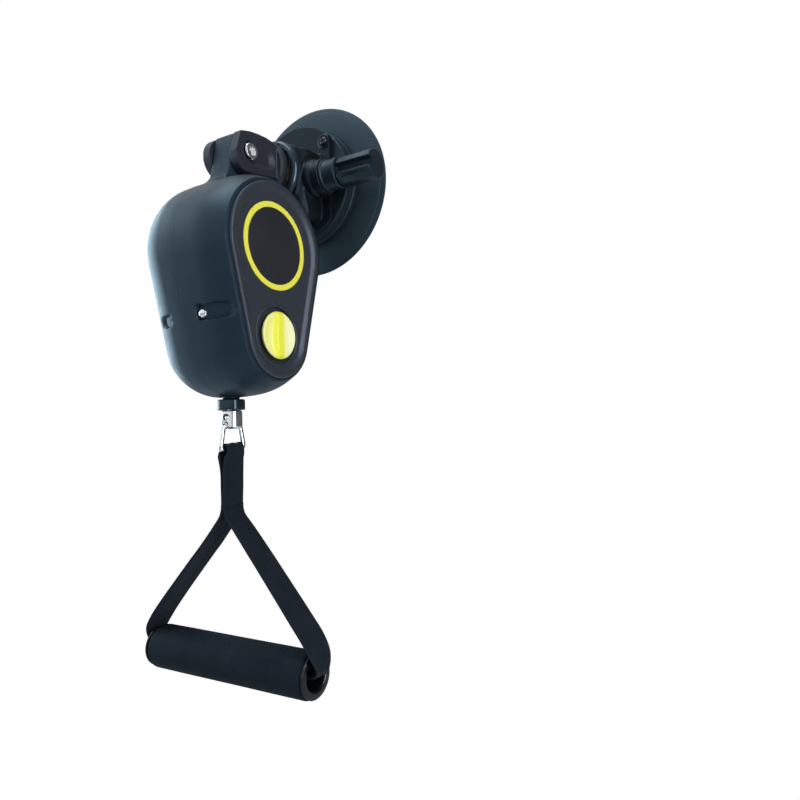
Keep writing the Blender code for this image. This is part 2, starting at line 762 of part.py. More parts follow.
def screw_hole(name, y, low, high):
    centre = (0, y, HOUSING_SCREW_Z)
    return rod(name, SCREW_SHANK_R + GAP, low, high, "X", centre, steps=SMALL, group=cutters_group)


def guide_posts():
    """The two y places of the posts that carry the brake plate."""
    return [RING_Y - GUIDE_POST_Y, RING_Y + GUIDE_POST_Y]


def shell_near():
    end_wall = SHELL_NEAR_FACE - GAP
    inside = end_wall - SHELL_WALL
    axle = (0, RING_Y, RING_Z)
    knob_axis = (0, RING_Y, KNOB_Z)
    bearing = (BEARING_R + GAP, BEARING_BOSS_R, AXLE_END - 0.0060, inside + PAST)
    bosses = [tube("near_bearing_boss", *bearing, "X", axle, group=cutters_group)]
    for i, y in enumerate(guide_posts()):
        place = (0, y, GUIDE_POST_Z)
        reach = (GUIDE_POST_R, 0.0125, inside + PAST)
        bosses.append(rod(f"guide_post_{i}", *reach, "X", place, steps=SMALL, group=cutters_group))
    for place, y in screw_places().items():
        bosses.append(screw_boss(f"near_screw_boss_{place}", y, 0.0066, -2 * PAST, inside + PAST))
    body = shell("shell_near", near_stations(end_wall), near_stations(inside), 1, bosses)
    for place, y in screw_places().items():
        end = SHELL_NEAR_FACE + PAST if place == "front" else REAR_TROUGH_END
        trough = screw_way(f"near_trough_{place}", y, HOUSING_SCREW_SEAT, end, 0.0046)
        cut(body, trough, screw_hole(f"near_screw_hole_{place}", y, -PAST, HOUSING_SCREW_SEAT + PAST))
    knob_hole = (KNOB_SCREW_R + GAP, inside - PAST, end_wall + PAST)
    lug_bore = (PIVOT_BUSH_R + GAP, -PAST, 0.020)
    cut(
        body,
        rod("near_knob_hole", *knob_hole, "X", knob_axis, steps=SMALL, group=cutters_group),
        rod("near_lug_bore", *lug_bore, "X", (0, PIVOT_Y, 0), group=cutters_group),
        outlet_hole("near"),
    )


def shell_far():
    end = FAR_ROUND_START - FAR_ROUND * math.sin(math.radians(88))
    inner_end = FAR_ROUND_START - FAR_ROUND * math.sin(math.radians(62))
    axle = (0, RING_Y, RING_Z)
    bearing = (BEARING_R + GAP, BEARING_BOSS_R, inner_end - PAST, CASE_FLOOR - GAP)
    bosses = [tube("far_bearing_boss", *bearing, "X", axle, group=cutters_group)]
    for place, y in screw_places().items():
        bosses.append(screw_boss(f"far_screw_boss_{place}", y, 0.0060, inner_end - PAST, 2 * PAST))
    body = shell("shell_far", far_stations(end), far_stations(inner_end), -1, bosses)
    for place, y in screw_places().items():
        notch = screw_way(f"far_notch_{place}", y, -0.060, -0.026, 0.0042)
        cut(body, notch, screw_hole(f"far_screw_hole_{place}", y, -0.0185, PAST))
    lug_bore = (PIVOT_BUSH_R + GAP, -0.020, PAST)
    cut(
        body,
        rod("far_lug_bore", *lug_bore, "X", (0, PIVOT_Y, 0), group=cutters_group),
        outlet_hole("far"),
    )


def outlet_hole(name):
    """The hole that both shell halves close on the outlet bush."""
    reach = (OUTLET_R + GAP, OUTLET_END - PAST, OUTLET_TOP + PAST)
    return rod(f"{name}_outlet_hole", *reach, "Z", (0, RING_Y, 0), group=cutters_group)


def housing_screws():
    for place, y in screw_places().items():
        seat = HOUSING_SCREW_SEAT + GAP
        profile = [
            (0.0, -0.018),
            (SCREW_SHANK_R, -0.018),
            (SCREW_SHANK_R, seat),
            (SCREW_HEAD_R, seat),
            (SCREW_HEAD_R, seat + 0.0016),
            (SCREW_HEAD_R - 0.0012, seat + 0.0026),
            (0.0, seat + 0.0026),
        ]
        revolve(f"housing_screw_{place}", profile, "X", (0, y, HOUSING_SCREW_Z), "chrome_steel", SMALL)


# Side panel, badge and knob


def side_panel():
    rings = [
        teardrop(PANEL_BACK, 0.0006),
        teardrop(PANEL_FACE - 0.0010, 0.0002),
        teardrop(PANEL_FACE, -0.0008),
    ]
    body = loft("side_panel", rings, "panel_plastic")
    well = [teardrop(PANEL_FLOOR, -LIP_WIDTH - 0.0004), teardrop(PANEL_FACE + PAST, -LIP_WIDTH + 0.0010)]
    knob_axis = (0, RING_Y, KNOB_Z)
    badge_axis = (0, RING_Y, RING_Z)
    dish_floor = PANEL_BACK + 0.0008
    badge_seat = (BADGE_RING_R + GAP, PANEL_FLOOR - BADGE_SEAT, PANEL_FLOOR + PAST)
    knob_way = (KNOB_SCREW_R + GAP, PANEL_BACK - PAST, PANEL_FACE)
    cut(
        body,
        loft("panel_well", well, group=cutters_group),
        rod("panel_dish", KNOB_DISH_R, dish_floor, PANEL_FLOOR + PAST, "X", knob_axis, group=cutters_group),
        rod("panel_badge_seat", *badge_seat, "X", badge_axis, steps=FINE, group=cutters_group),
        rod("panel_knob_hole", *knob_way, "X", knob_axis, steps=SMALL, group=cutters_group),
    )
    seat = PANEL_FLOOR - BADGE_SEAT + GAP
    tube("badge_ring", BADGE_RING_INNER, BADGE_RING_R, seat, seat + 0.0009, "X", badge_axis, "yellow_plastic", FINE)
    rod("badge_disc", BADGE_RING_INNER - GAP, seat, seat + 0.0006, "X", badge_axis, "panel_plastic", FINE)


def knob():
    centre = (0, RING_Y, KNOB_Z)
    back = PANEL_BACK + 0.0008 + GAP
    front = back + KNOB_DISC
    bore = KNOB_SCREW_R + GAP
    profile = [
        (bore, back),
        (KNOB_R, back),
        (KNOB_R, front - 0.0008),
        (KNOB_R - 0.0008, front),
        (0.0, front),
        (0.0, front - 0.0010),
        (bore, front - 0.0010),
    ]
    body = revolve("knob", profile, "X", centre, "yellow_plastic", FINE)
    half = KNOB_GRIP / 2
    reach = KNOB_R - 0.0008 - half
    outline = arc((RING_Y, KNOB_Z + reach), half, 0, 180, 9) + arc((RING_Y, KNOB_Z - reach), half, 180, 360, 9)
    join(body, prism("knob_grip", outline, front - 0.0006, front + KNOB_GRIP_RISE, "X", group=cutters_group))
    collar_end = SHELL_NEAR_FACE - GAP - SHELL_WALL - GAP
    profile = [
        (0.0, 0.0150),
        (KNOB_SCREW_R, 0.0150),
        (KNOB_SCREW_R, collar_end - 0.002),
        (KNOB_COLLAR_R, collar_end - 0.002),
        (KNOB_COLLAR_R, collar_end),
        (KNOB_SCREW_R, collar_end),
        (KNOB_SCREW_R, front - 0.0010 - GAP),
        (0.0, front - 0.0010 - GAP),
    ]
    revolve("knob_screw", profile, "X", centre, "plain_steel", SMALL)


# Brake


def brake():
    pad_back = DRUM_HALF + BRAKE_TRAVEL + 0.0004 + 0.0026
    plate_start = pad_back + GAP
    low = (plate_start, RING_Y - BRAKE_PLATE_HALF, KNOB_Z - 0.008)
    high = (plate_start + BRAKE_PLATE, RING_Y + BRAKE_PLATE_HALF, RING_Z - 0.012)
    plate = box("brake_plate", low, high, "plain_steel")
    holes = [("plate_nut_hole", KNOB_SCREW_R, RING_Y, KNOB_Z)]
    for i, y in enumerate(guide_posts()):
        holes.append((f"plate_guide_hole_{i}", GUIDE_POST_R, y, GUIDE_POST_Z))
    for name, radius, y, z in holes:
        reach = (radius + GAP, low[0] - PAST, high[0] + PAST)
        cut(plate, rod(name, *reach, "X", (0, y, z), steps=SMALL, group=cutters_group))
    pad_low = (pad_back - 0.0026, RING_Y - 0.014, RING_Z - 0.030)
    pad_high = (pad_back, RING_Y + 0.014, RING_Z - 0.014)
    box("brake_pad", pad_low, pad_high, "friction_lining")


# Drum, rope and return spring


def drum():
    centre = (0, RING_Y, RING_Z)
    bore = AXLE_R + GAP
    inside = DRUM_HALF - DRUM_CHEEK
    profile = [
        (bore, -DRUM_HALF),
        (DRUM_CHEEK_R, -DRUM_HALF),
        (DRUM_CHEEK_R, -inside),
        (DRUM_HUB_R, -inside),
        (DRUM_HUB_R, inside),
        (DRUM_CHEEK_R, inside),
        (DRUM_CHEEK_R, DRUM_HALF),
        (bore, DRUM_HALF),
    ]
    revolve("drum", profile, "X", centre, "black_plastic")
    tube("wound_rope", DRUM_HUB_R + GAP, WOUND_R, -inside + GAP, inside - GAP, "X", centre, "rope_braid")
    rod("drum_axle", AXLE_R, AXLE_START, AXLE_END, "X", centre, "plain_steel", SMALL)
    ring = (bore, BEARING_R)
    tube("bearing_near", *ring, AXLE_END - BEARING_LENGTH, AXLE_END, "X", centre, "bronze", SMALL)
    tube("bearing_far", *ring, AXLE_START, AXLE_START + BEARING_LENGTH, "X", centre, "bronze", SMALL)


def return_spring():
    centre = (0, RING_Y, RING_Z)
    floor = CASE_FLOOR
    rim = -DRUM_HALF - 0.0030
    profile = [
        (0.0075, floor),
        (CASE_R, floor),
        (CASE_R, rim),
        (CASE_R - CASE_WALL, rim),
        (CASE_R - CASE_WALL, floor + CASE_WALL),
        (0.0075, floor + CASE_WALL),
    ]
    revolve("spring_case", profile, "X", centre, "black_plastic")
    start = AXLE_R + 2 * GAP
    end = CASE_R - CASE_WALL - GAP - SPRING_STRIP
    steps = SPRING_TURNS * MEDIUM
    inner = []
    outer = []
    for i in range(steps + 1):
        angle = math.tau * SPRING_TURNS * i / steps
        radius = start + (end - start) * i / steps
        direction = (math.cos(angle), math.sin(angle))
        inner.append(tuple(c + radius * d for c, d in zip((RING_Y, RING_Z), direction)))
        outer.append(tuple(c + (radius + SPRING_STRIP) * d for c, d in zip((RING_Y, RING_Z), direction)))
    low = floor + CASE_WALL + GAP
    high = rim - GAP
    bm = bmesh.new()
    rows = []
    for a, b in zip(inner, outer):
        rows.append([bm.verts.new(p) for p in ((low, *a), (low, *b), (high, *b), (high, *a))])
    for row, following in zip(rows, rows[1:]):
        for i in range(4):
            j = (i + 1) % 4
            bm.faces.new((row[i], row[j], following[j], following[i]))
    bm.faces.new(rows[0])
    bm.faces.new(rows[-1])
    finish("return_spring", bm, "plain_steel", parts_group)


def rope_run():
    """The inner rope from the drum's front side down to the outlet."""
    lead_radius = WOUND_R - ROPE_R
    end = Vector((RING_Y, OUTLET_TOP + 0.0032))
    centre = Vector((RING_Y, RING_Z))
    reach = centre - end
    distance = reach.length
    tangent_length = math.sqrt(distance**2 - lead_radius**2)
    swing = math.asin(lead_radius / distance)
    direction = Vector((-math.sin(swing), math.cos(swing)))
    beyond = math.sqrt((WOUND_R + GAP) ** 2 - (lead_radius - ROPE_R) ** 2)
    start = end + direction * (tangent_length - beyond)
    bm = bmesh.new()
    ends = {"radius1": ROPE_R, "radius2": ROPE_R, "depth": (start - end).length}
    bmesh.ops.create_cone(bm, cap_ends=True, segments=SMALL, **ends)
    middle = (start + end) / 2
    turn = Matrix.Rotation(math.atan2(direction.x, direction.y) * -1, 4, "X")
    bm.transform(Matrix.Translation((0, middle.x, middle.y)) @ turn)
    finish("rope_run", bm, "rope_braid", parts_group)


# Outlet, stop collar, swivel and ring


def outlet():
    centre = (0, RING_Y, 0)
    way = ROPE_R + GAP
    profile = [
        (way, OUTLET_END),
        (OUTLET_R, OUTLET_END),
        (OUTLET_R, OUTLET_FLANGE_LOW),
        (OUTLET_FLANGE_R, OUTLET_FLANGE_LOW),
        (OUTLET_FLANGE_R, OUTLET_TOP - 0.0012),
        (OUTLET_FLANGE_R - 0.0012, OUTLET_TOP),
        (way + 0.0034, OUTLET_TOP),
        (way + 0.0012, OUTLET_TOP - 0.0016),
        (way, OUTLET_TOP - 0.0040),
    ]
    revolve("outlet_bush", profile, "Z", centre, "black_plastic", SMALL)
    rod("rope_lead", ROPE_R, STOP_TOP - 0.0014, OUTLET_TOP - 0.0002, "Z", centre, "rope_braid", SMALL)
    profile = [
        (way, STOP_TOP),
        (STOP_R - 0.0010, STOP_TOP),
        (STOP_R, STOP_TOP - 0.0010),
        (STOP_R, STOP_END + 0.0008),
        (STOP_R - 0.0008, STOP_END),
        (PIN_R + GAP, STOP_END),
        (PIN_R + GAP, STOP_END + 0.0016),
        (PIN_HEAD_R + GAP, STOP_END + 0.0016),
        (PIN_HEAD_R + GAP, STOP_TOP - 0.0018),
        (way, STOP_TOP - 0.0018),
    ]
    revolve("stop_collar", profile, "Z", centre, "black_plastic")
    head_low = STOP_END + 0.0016 + GAP
    profile = [
        (0.0, head_low + 0.0020),
        (PIN_HEAD_R, head_low + 0.0020),
        (PIN_HEAD_R, head_low),
        (PIN_R, head_low),
        (PIN_R, PIN_END),
        (0.0, PIN_END),
    ]
    revolve("swivel_pin", profile, "Z", centre, "chrome_steel", SMALL)
    eye_bore = RING_WIRE_R + GAP
    profile = [
        (PIN_R + GAP, EYE_BLOCK_TOP),
        (EYE_BLOCK_R - 0.0006, EYE_BLOCK_TOP),
        (EYE_BLOCK_R, EYE_BLOCK_TOP - 0.0006),
        (EYE_BLOCK_R, EYE_BLOCK_END + 0.0010),
        (EYE_BLOCK_R - 0.0010, EYE_BLOCK_END),
        (0.0, EYE_BLOCK_END),
        (0.0, PIN_END - GAP),
        (PIN_R + GAP, PIN_END - GAP),
    ]
    block = revolve("swivel_block", profile, "Z", centre, "chrome_steel")
    tongue_low = (-TONGUE_HALF_X, RING_Y - TONGUE_HALF_Y, RING_TOP_Z - eye_bore - 0.0014)
    tongue_high = (TONGUE_HALF_X, RING_Y + TONGUE_HALF_Y, EYE_BLOCK_END + 0.001)
    join(block, box("block_tongue", tongue_low, tongue_high, group=cutters_group))
    eye_centre = (0, RING_Y, RING_TOP_Z)
    eye = rod("block_eye", eye_bore, -0.012, 0.012, "Y", eye_centre, steps=SMALL, group=cutters_group)
    cut(block, eye)


def ring_path():
    """The ring's middle line as (y, z) counted from the rope's line, with rounded corners."""
    corners = [
        (RING_TOP_HALF, RING_TOP_Z),
        (-RING_TOP_HALF, RING_TOP_Z),
        (-RING_BAR_HALF, RING_BAR_Z),
        (RING_BAR_HALF, RING_BAR_Z),
    ]
    points = []
    for i, corner in enumerate(corners):
        here = Vector(corner)
        before = (Vector(corners[i - 1]) - here).normalized()
        after = (Vector(corners[(i + 1) % 4]) - here).normalized()
        for share in (0.0, 0.25, 0.5, 0.75, 1.0):
            start = here + before * RING_BEND
            end = here + after * RING_BEND
            straight = start.lerp(end, share)
            pull = 2 * share * (1 - share)
            points.append(straight.lerp(here, pull))
    return points


def clip_ring():
    path = ring_path()
    count = len(path)
    bm = bmesh.new()
    rows = []
    for i, point in enumerate(path):
        tangent = (path[(i + 1) % count] - path[i - 1]).normalized()
        side = Vector((tangent.y, -tangent.x))
        row = []
        for k in range(12):
            angle = math.tau * k / 12
            across = side * math.cos(angle) * RING_WIRE_R
            out = math.sin(angle) * RING_WIRE_R
            row.append(bm.verts.new((out, RING_Y + point.x + across.x, point.y + across.y)))
        rows.append(row)
    for i in range(count):
        row = rows[i]
        following = rows[(i + 1) % count]
        for k in range(12):
            j = (k + 1) % 12
            bm.faces.new((row[k], row[j], following[j], following[k]))
    finish("clip_ring", bm, "chrome_steel", parts_group)


# Webbing strap and grip


def strap_path(side):
    """Middle line of one half of the strap as (x, z, half width), from the grip's middle to the ring's bar."""
    ply = STRAP_THICK / 2 + GAP / 2
    wide = STRAP_HALF_WIDTH
    mouth = STRAP_MOUTH_HALF
    end = GRIP_HALF_LENGTH
    leg = [
        (end - 0.0385, 0.0, mouth),
        (end - 0.0085, 0.0002, mouth),
        (end, 0.0006, mouth + 0.0001),
        (end + 0.0037, 0.0022, mouth + 0.0006),
        (end + 0.0053, 0.0052, mouth + 0.0012),
        (end + 0.0053, 0.0105, mouth + 0.0021),
        (end + 0.0033, 0.0160, mouth + 0.0029),
    ]
    points = [(GRIP_SHIFT + side * x, GRIP_Z + rise, half) for x, rise, half in leg]
    turn = Vector((GRIP_SHIFT + side * (end - 0.0020), GRIP_Z + 0.0250))
    split = Vector((STRAP_LEAN + side * 0.0027, STRAP_SPLIT_Z - 0.0045))
    points.append((*turn, wide - 0.0003))
    for share, bow, sag, half in (
        (0.17, 0.0005, 0.0000, wide - 0.0002),
        (0.36, 0.0006, 0.0006, wide - 0.0005),
        (0.56, 0.0006, 0.0014, wide - 0.0008),
        (0.74, 0.0004, 0.0021, wide - 0.0011),
        (0.90, 0.0001, 0.0014, wide - 0.0016),
        (1.00, 0.0000, 0.0000, STRAP_SEAM_HALF),
    ):
        # the left leg sags inward a little near the seam
        place = turn.lerp(split, share)
        shift = bow if side > 0 else bow - sag
        points.append((place.x + side * shift, place.y, half))
    seam = [
        (ply + 0.0006, STRAP_SPLIT_Z - 0.0020, STRAP_SEAM_HALF),
        (ply, STRAP_SPLIT_Z, STRAP_SEAM_HALF),
        (ply, RING_BAR_Z - 0.0270, STRAP_SEAM_HALF),
        (ply, RING_BAR_Z - 0.0160, STRAP_SEAM_HALF),
        (ply + 0.0004, RING_BAR_Z - 0.0090, STRAP_SEAM_HALF - 0.0002),
        (0.0024, RING_BAR_Z - 0.0048, STRAP_SEAM_HALF - 0.0006),
        (0.0030, RING_BAR_Z - 0.0020, STRAP_LOOP_HALF),
    ]
    for x, z, half in seam:
        lean = STRAP_LEAN * (RING_BAR_Z - z) / (RING_BAR_Z - STRAP_SPLIT_Z)
        points.append((side * x + lean, z, half))
    return points


def webbing_strap():
    middle = [(GRIP_SHIFT, GRIP_Z, STRAP_MOUTH_HALF)]
    right = middle + strap_path(1)
    loop_radius = RING_WIRE_R + GAP + STRAP_THICK / 2
    over = [(*p, STRAP_LOOP_HALF) for p in arc((0.0, RING_BAR_Z), loop_radius, 0, 180, 11)]
    left = list(reversed(strap_path(-1)))
    path = right + over + left
    count = len(path)
    bm = bmesh.new()
    rows = []
    for i, (x, z, half) in enumerate(path):
        before = path[i - 1]
        after = path[(i + 1) % count]
        tangent = Vector((after[0] - before[0], after[1] - before[1])).normalized()
        side = Vector((-tangent.y, tangent.x)) * STRAP_THICK / 2
        row = []
        for across, edge in ((1, -half), (1, half), (-1, half), (-1, -half)):
            row.append(bm.verts.new((x + side.x * across, RING_Y + edge, z + side.y * across)))
        rows.append(row)
    for i in range(count):
        row = rows[i]
        following = rows[(i + 1) % count]
        for k in range(4):
            j = (k + 1) % 4
            bm.faces.new((row[k], row[j], following[j], following[k]))
    finish("webbing_strap", bm, "webbing", parts_group)


def grip():
    centre = (GRIP_SHIFT, RING_Y, GRIP_Z)
    end = GRIP_HALF_LENGTH
    tube("grip_tube", TUBE_INNER_R, TUBE_R, -end + 0.0020, end - 0.0020, "X", centre, "black_plastic")
    round_edge = 0.0012
    foam_end = end - 0.0020
    foam_bore = TUBE_R + GAP
    profile = [
        (foam_bore, -foam_end),
        (GRIP_R - round_edge, -foam_end),
        (GRIP_R, -foam_end + round_edge),
        (GRIP_R, foam_end - round_edge),
        (GRIP_R - round_edge, foam_end),
        (foam_bore, foam_end),
    ]
    revolve("foam_grip", profile, "X", centre, "foam", FINE)
    for side, name in ((1, "right"), (-1, "left")):
        flange = end - 0.0020 + GAP
        profile = [
            (GRIP_BORE_R, side * (end - 0.014)),
            (TUBE_INNER_R - GAP, side * (end - 0.014)),
            (TUBE_INNER_R - GAP, side * flange),
            (GRIP_R - 0.0016, side * flange),
            (GRIP_R - 0.0020, side * end),
            (GRIP_BORE_R + 0.0006, side * end),
            (GRIP_BORE_R, side * (end - 0.0006)),
        ]
        revolve(f"grip_end_{name}", profile, "X", centre, "black_plastic")


def set_origins():
    """Puts each moving piece's origin on its joint."""
    lever_axis = Vector((0, LEVER_Y, LEVER_Z))
    knob_axis = Vector((0, RING_Y, KNOB_Z))
    drum_axis = Vector((0, RING_Y, RING_Z))
    grip_axis = Vector((GRIP_SHIFT, RING_Y, GRIP_Z))
    pivot_axis = Vector((0, PIVOT_Y, 0))
    eye_axis = Vector((0, RING_Y, RING_TOP_Z))
    bar_axis = Vector((0, RING_Y, RING_BAR_Z))
    places = [
        (lever_axis, ["cam_shaft", "lever_sleeve", "lever_handle"]),
        (knob_axis, ["knob", "knob_screw"]),
        (drum_axis, ["drum", "wound_rope", "drum_axle"]),
        (grip_axis, ["grip_tube", "foam_grip", "grip_end_left", "grip_end_right"]),
        (pivot_axis, ["shell_near", "shell_far", "side_panel", "badge_ring", "badge_disc"]),
        (eye_axis, ["clip_ring"]),
        (bar_axis, ["webbing_strap"]),
    ]
    for place, names in places:
        for name in names:
            moved = bpy.data.objects[name]
            moved.data.transform(Matrix.Translation(-place))
            moved.location = place


suction_cup()
cup_cover()
pull_stud()
bracket()
flange_screws()
lever()
swivel()
yoke()
pivot()
shell_near()
shell_far()
housing_screws()
side_panel()
knob()
brake()
drum()
return_spring()
rope_run()
outlet()
clip_ring()
webbing_strap()
grip()
set_origins()
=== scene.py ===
import math

import bmesh
import bpy
from mathutils import Matrix, Vector


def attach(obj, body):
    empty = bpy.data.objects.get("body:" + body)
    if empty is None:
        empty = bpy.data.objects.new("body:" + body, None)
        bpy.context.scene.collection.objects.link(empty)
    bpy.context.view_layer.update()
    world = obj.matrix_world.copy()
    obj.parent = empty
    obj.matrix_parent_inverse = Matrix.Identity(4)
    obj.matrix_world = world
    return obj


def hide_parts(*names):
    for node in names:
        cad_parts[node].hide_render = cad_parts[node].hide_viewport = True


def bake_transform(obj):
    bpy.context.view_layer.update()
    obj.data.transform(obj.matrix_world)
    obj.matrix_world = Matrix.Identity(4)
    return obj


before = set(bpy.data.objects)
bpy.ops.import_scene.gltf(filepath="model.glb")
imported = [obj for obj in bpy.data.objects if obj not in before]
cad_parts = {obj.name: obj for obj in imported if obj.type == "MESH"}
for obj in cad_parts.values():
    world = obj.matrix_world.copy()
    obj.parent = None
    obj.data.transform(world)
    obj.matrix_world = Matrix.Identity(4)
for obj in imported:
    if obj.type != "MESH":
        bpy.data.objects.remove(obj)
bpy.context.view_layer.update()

# Camera, floor and light
# The camera stands where the photograph was taken: level with the middle of the unit, a little
# below it and round toward the dial side. The floor is far below and the studio is plain white.


def linked(name, data):
    """An object of this data, linked to the scene."""
    made = bpy.data.objects.new(name, data)
    bpy.context.scene.collection.objects.link(made)
    return made


def soft_lamp(name, place, target, width, height, power, colour=(1.0, 1.0, 1.0)):
    """A rectangular lamp at place that looks at target."""
    data = bpy.data.lights.new(name, "AREA")
    data.shape = "RECTANGLE"
    data.size = width
    data.size_y = height
    data.energy = power
    data.color = colour
    turn = (Vector(target) - Vector(place)).to_track_quat("-Z", "Y")
    linked(name, data).matrix_world = Matrix.Translation(place) @ turn.to_matrix().to_4x4()


def filled(tree, node, values):
    """Sets a node's inputs: a socket is linked, anything else is a plain value."""
    for label, value in values.items():
        if isinstance(value, bpy.types.NodeSocket):
            tree.links.new(value, node.inputs[label])
        else:
            node.inputs[label].default_value = value
    return node


def new_node(tree, kind, values=(), **settings):
    """A new node with its settings and its inputs."""
    node = tree.nodes.new(kind)
    for label, value in settings.items():
        setattr(node, label, value)
    return filled(tree, node, dict(values))


def math_node(tree, operation, *operands):
    """A maths node whose operands are sockets or plain numbers."""
    return new_node(tree, "ShaderNodeMath", dict(enumerate(operands)), operation=operation).outputs[0]


def ranged(tree, value, low, high, new_low=0.0, new_high=1.0, **settings):
    """A value moved from one range to another and held inside it."""
    values = {"Value": value, "From Min": low, "From Max": high, "To Min": new_low, "To Max": new_high}
    return new_node(tree, "ShaderNodeMapRange", values, **settings).outputs["Result"]


def background(tree, colour, strength):
    values = {"Color": (*colour, 1.0), "Strength": strength}
    return new_node(tree, "ShaderNodeBackground", values).outputs[0]


def mixed(tree, share, first, second):
    """Two shaders mixed by share."""
    return new_node(tree, "ShaderNodeMixShader", {0: share, 1: first, 2: second}).outputs[0]


camera_data = bpy.data.cameras.new("photo_camera")
camera_data.sensor_width = 36.0
camera_data.lens = 30.26
camera_data.clip_start = 0.01
azimuth = math.radians(31.11)
elevation = math.radians(-2.38)
roll = math.radians(1.74)
forward = Vector((-math.sin(azimuth), math.cos(azimuth), 0.0)) * math.cos(elevation)
forward.z = -math.sin(elevation)
level = Vector((math.cos(azimuth), math.sin(azimuth), 0.0))
down = forward.cross(level)
across = level * math.cos(roll) + down * math.sin(roll)
up = level * math.sin(roll) - down * math.cos(roll)
camera = linked("photo_camera", camera_data)
camera_turn = Matrix((across, up, -forward)).transposed().to_4x4()
camera.matrix_world = Matrix.Translation((0.3699, -0.4781, -0.2140)) @ camera_turn
bpy.context.scene.camera = camera
bpy.context.scene.view_settings.view_transform = "Standard"

soft_lamp("left_softbox", (-1.10, -0.10, 0.05), (0.0, -0.10, -0.12), 0.9, 1.2, 12.5, (0.62, 0.86, 1.0))
soft_lamp("right_softbox", (1.15, -0.34, 0.05), (0.0, -0.10, -0.15), 0.30, 1.3, 9.0)
soft_lamp("top_softbox", (-0.20, -0.45, 1.20), (0.0, -0.08, -0.10), 1.0, 0.8, 7.0, (0.80, 0.94, 1.0))

# The studio is white for the camera. What the unit mirrors, and the light that fills its shadows, is
# bright to the front left and fades behind the wall side.
STUDIO_FRONT = (-0.55, -0.75, 0.35)
studio = bpy.data.worlds.new("white_studio")
bpy.context.scene.world = studio
studio.use_nodes = True
tree = studio.node_tree
tree.nodes.clear()
rays = new_node(tree, "ShaderNodeLightPath").outputs
direction = new_node(tree, "ShaderNodeTexCoord").outputs["Generated"]
values = {0: direction, 1: STUDIO_FRONT}
toward_front = new_node(tree, "ShaderNodeVectorMath", values, operation="DOT_PRODUCT")
fade = ranged(tree, toward_front.outputs["Value"], -0.55, 0.70, 0.12, 1.0, interpolation_type="SMOOTHSTEP")
mirrored = background(tree, (0.78, 0.83, 0.86), fade)
ambient = background(tree, (0.90, 0.96, 1.0), math_node(tree, "MULTIPLY", fade, 0.70))
seen = math_node(tree, "MAXIMUM", rays["Is Camera Ray"], rays["Is Transmission Ray"])
unseen = mixed(tree, rays["Is Glossy Ray"], ambient, mirrored)
surface = mixed(tree, seen, unseen, background(tree, (1.0, 1.0, 1.0), 1.0))
new_node(tree, "ShaderNodeOutputWorld", {"Surface": surface})

FLOOR_Z = -0.62
FLOOR_HALF = 6.0
floor_mesh = bpy.data.meshes.new("studio_floor")
corners = [(FLOOR_HALF * x, FLOOR_HALF * y, FLOOR_Z) for x, y in ((-1, -1), (1, -1), (1, 1), (-1, 1))]
floor_mesh.from_pydata(corners, [], [(0, 1, 2, 3)])
floor = linked("studio_floor", floor_mesh)
floor_paint = bpy.data.materials.new("white_floor")
floor_paint.use_nodes = True
tree = floor_paint.node_tree
tree.nodes.clear()
rays = new_node(tree, "ShaderNodeLightPath").outputs
matt = new_node(tree, "ShaderNodeBsdfDiffuse", {"Color": (0.55, 0.55, 0.55, 1.0)}).outputs[0]
glow = new_node(tree, "ShaderNodeEmission", {"Strength": 1.0}).outputs[0]
new_node(tree, "ShaderNodeOutputMaterial", {"Surface": mixed(tree, rays["Is Camera Ray"], matt, glow)})
floor_mesh.materials.append(floor_paint)

# Suction cup
# A 150 mm disc of moulded rubber, thick under the cover and thin at its lip. The back has a flat
# sealing ring with fine grooves, and the middle is a membrane that the stud pulls.

GAP = 0.0003
WALL_PLACE = (0, 0, 0)
KEPT_BEND = math.radians(14)
SIDE_SHARE = 0.45


def softened(outline, radius, steps=4, closed=True):
    """Rounds the corners of an outline of 2-D points; a bend below KEPT_BEND stays as it is."""
    count = len(outline)
    result = []
    for i, point in enumerate(outline):
        here = Vector(point)
        if not closed and i in (0, count - 1):
            result.append(tuple(here))
            continue
        before = Vector(outline[i - 1]) - here
        after = Vector(outline[(i + 1) % count]) - here
        if before.length < 1e-7 or after.length < 1e-7:
            continue
        bend = math.pi - before.angle(after)
        if bend < KEPT_BEND:
            result.append(tuple(here))
            continue
        reach = min(radius * math.tan(bend / 2), SIDE_SHARE * before.length, SIDE_SHARE * after.length)
        start = here + before.normalized() * reach
        end = here + after.normalized() * reach
        for k in range(steps + 1):
            share = k / steps
            result.append(tuple(start.lerp(end, share).lerp(here, 2 * share * (1 - share))))
    return result


def smoothed(piece, crease=38.0):
    """Shades a piece smooth except at edges sharper than crease."""
    piece.data.shade_smooth()
    piece.data.set_sharp_from_angle(angle=math.radians(crease))
    return piece


def as_object(name, bm, crease=38.0):
    """An object of a bmesh with its faces turned outward."""
    bmesh.ops.recalc_face_normals(bm, faces=bm.faces)
    mesh = bpy.data.meshes.new(name)
    bm.to_mesh(mesh)
    bm.free()
    return smoothed(linked(name, mesh), crease)


def bridged(bm, rings):
    """Joins each ring of points to the next one by faces; a ring may be a single point."""
    for ring, following in zip(rings, rings[1:]):
        count = max(len(ring), len(following))
        for i in range(count if count > 1 else 0):
            j = (i + 1) % count
            corners = [ring[i % len(ring)], following[i % len(following)]]
            corners += [following[j % len(following)], ring[j % len(ring)]]
            bm.faces.new(list(dict.fromkeys(corners)))


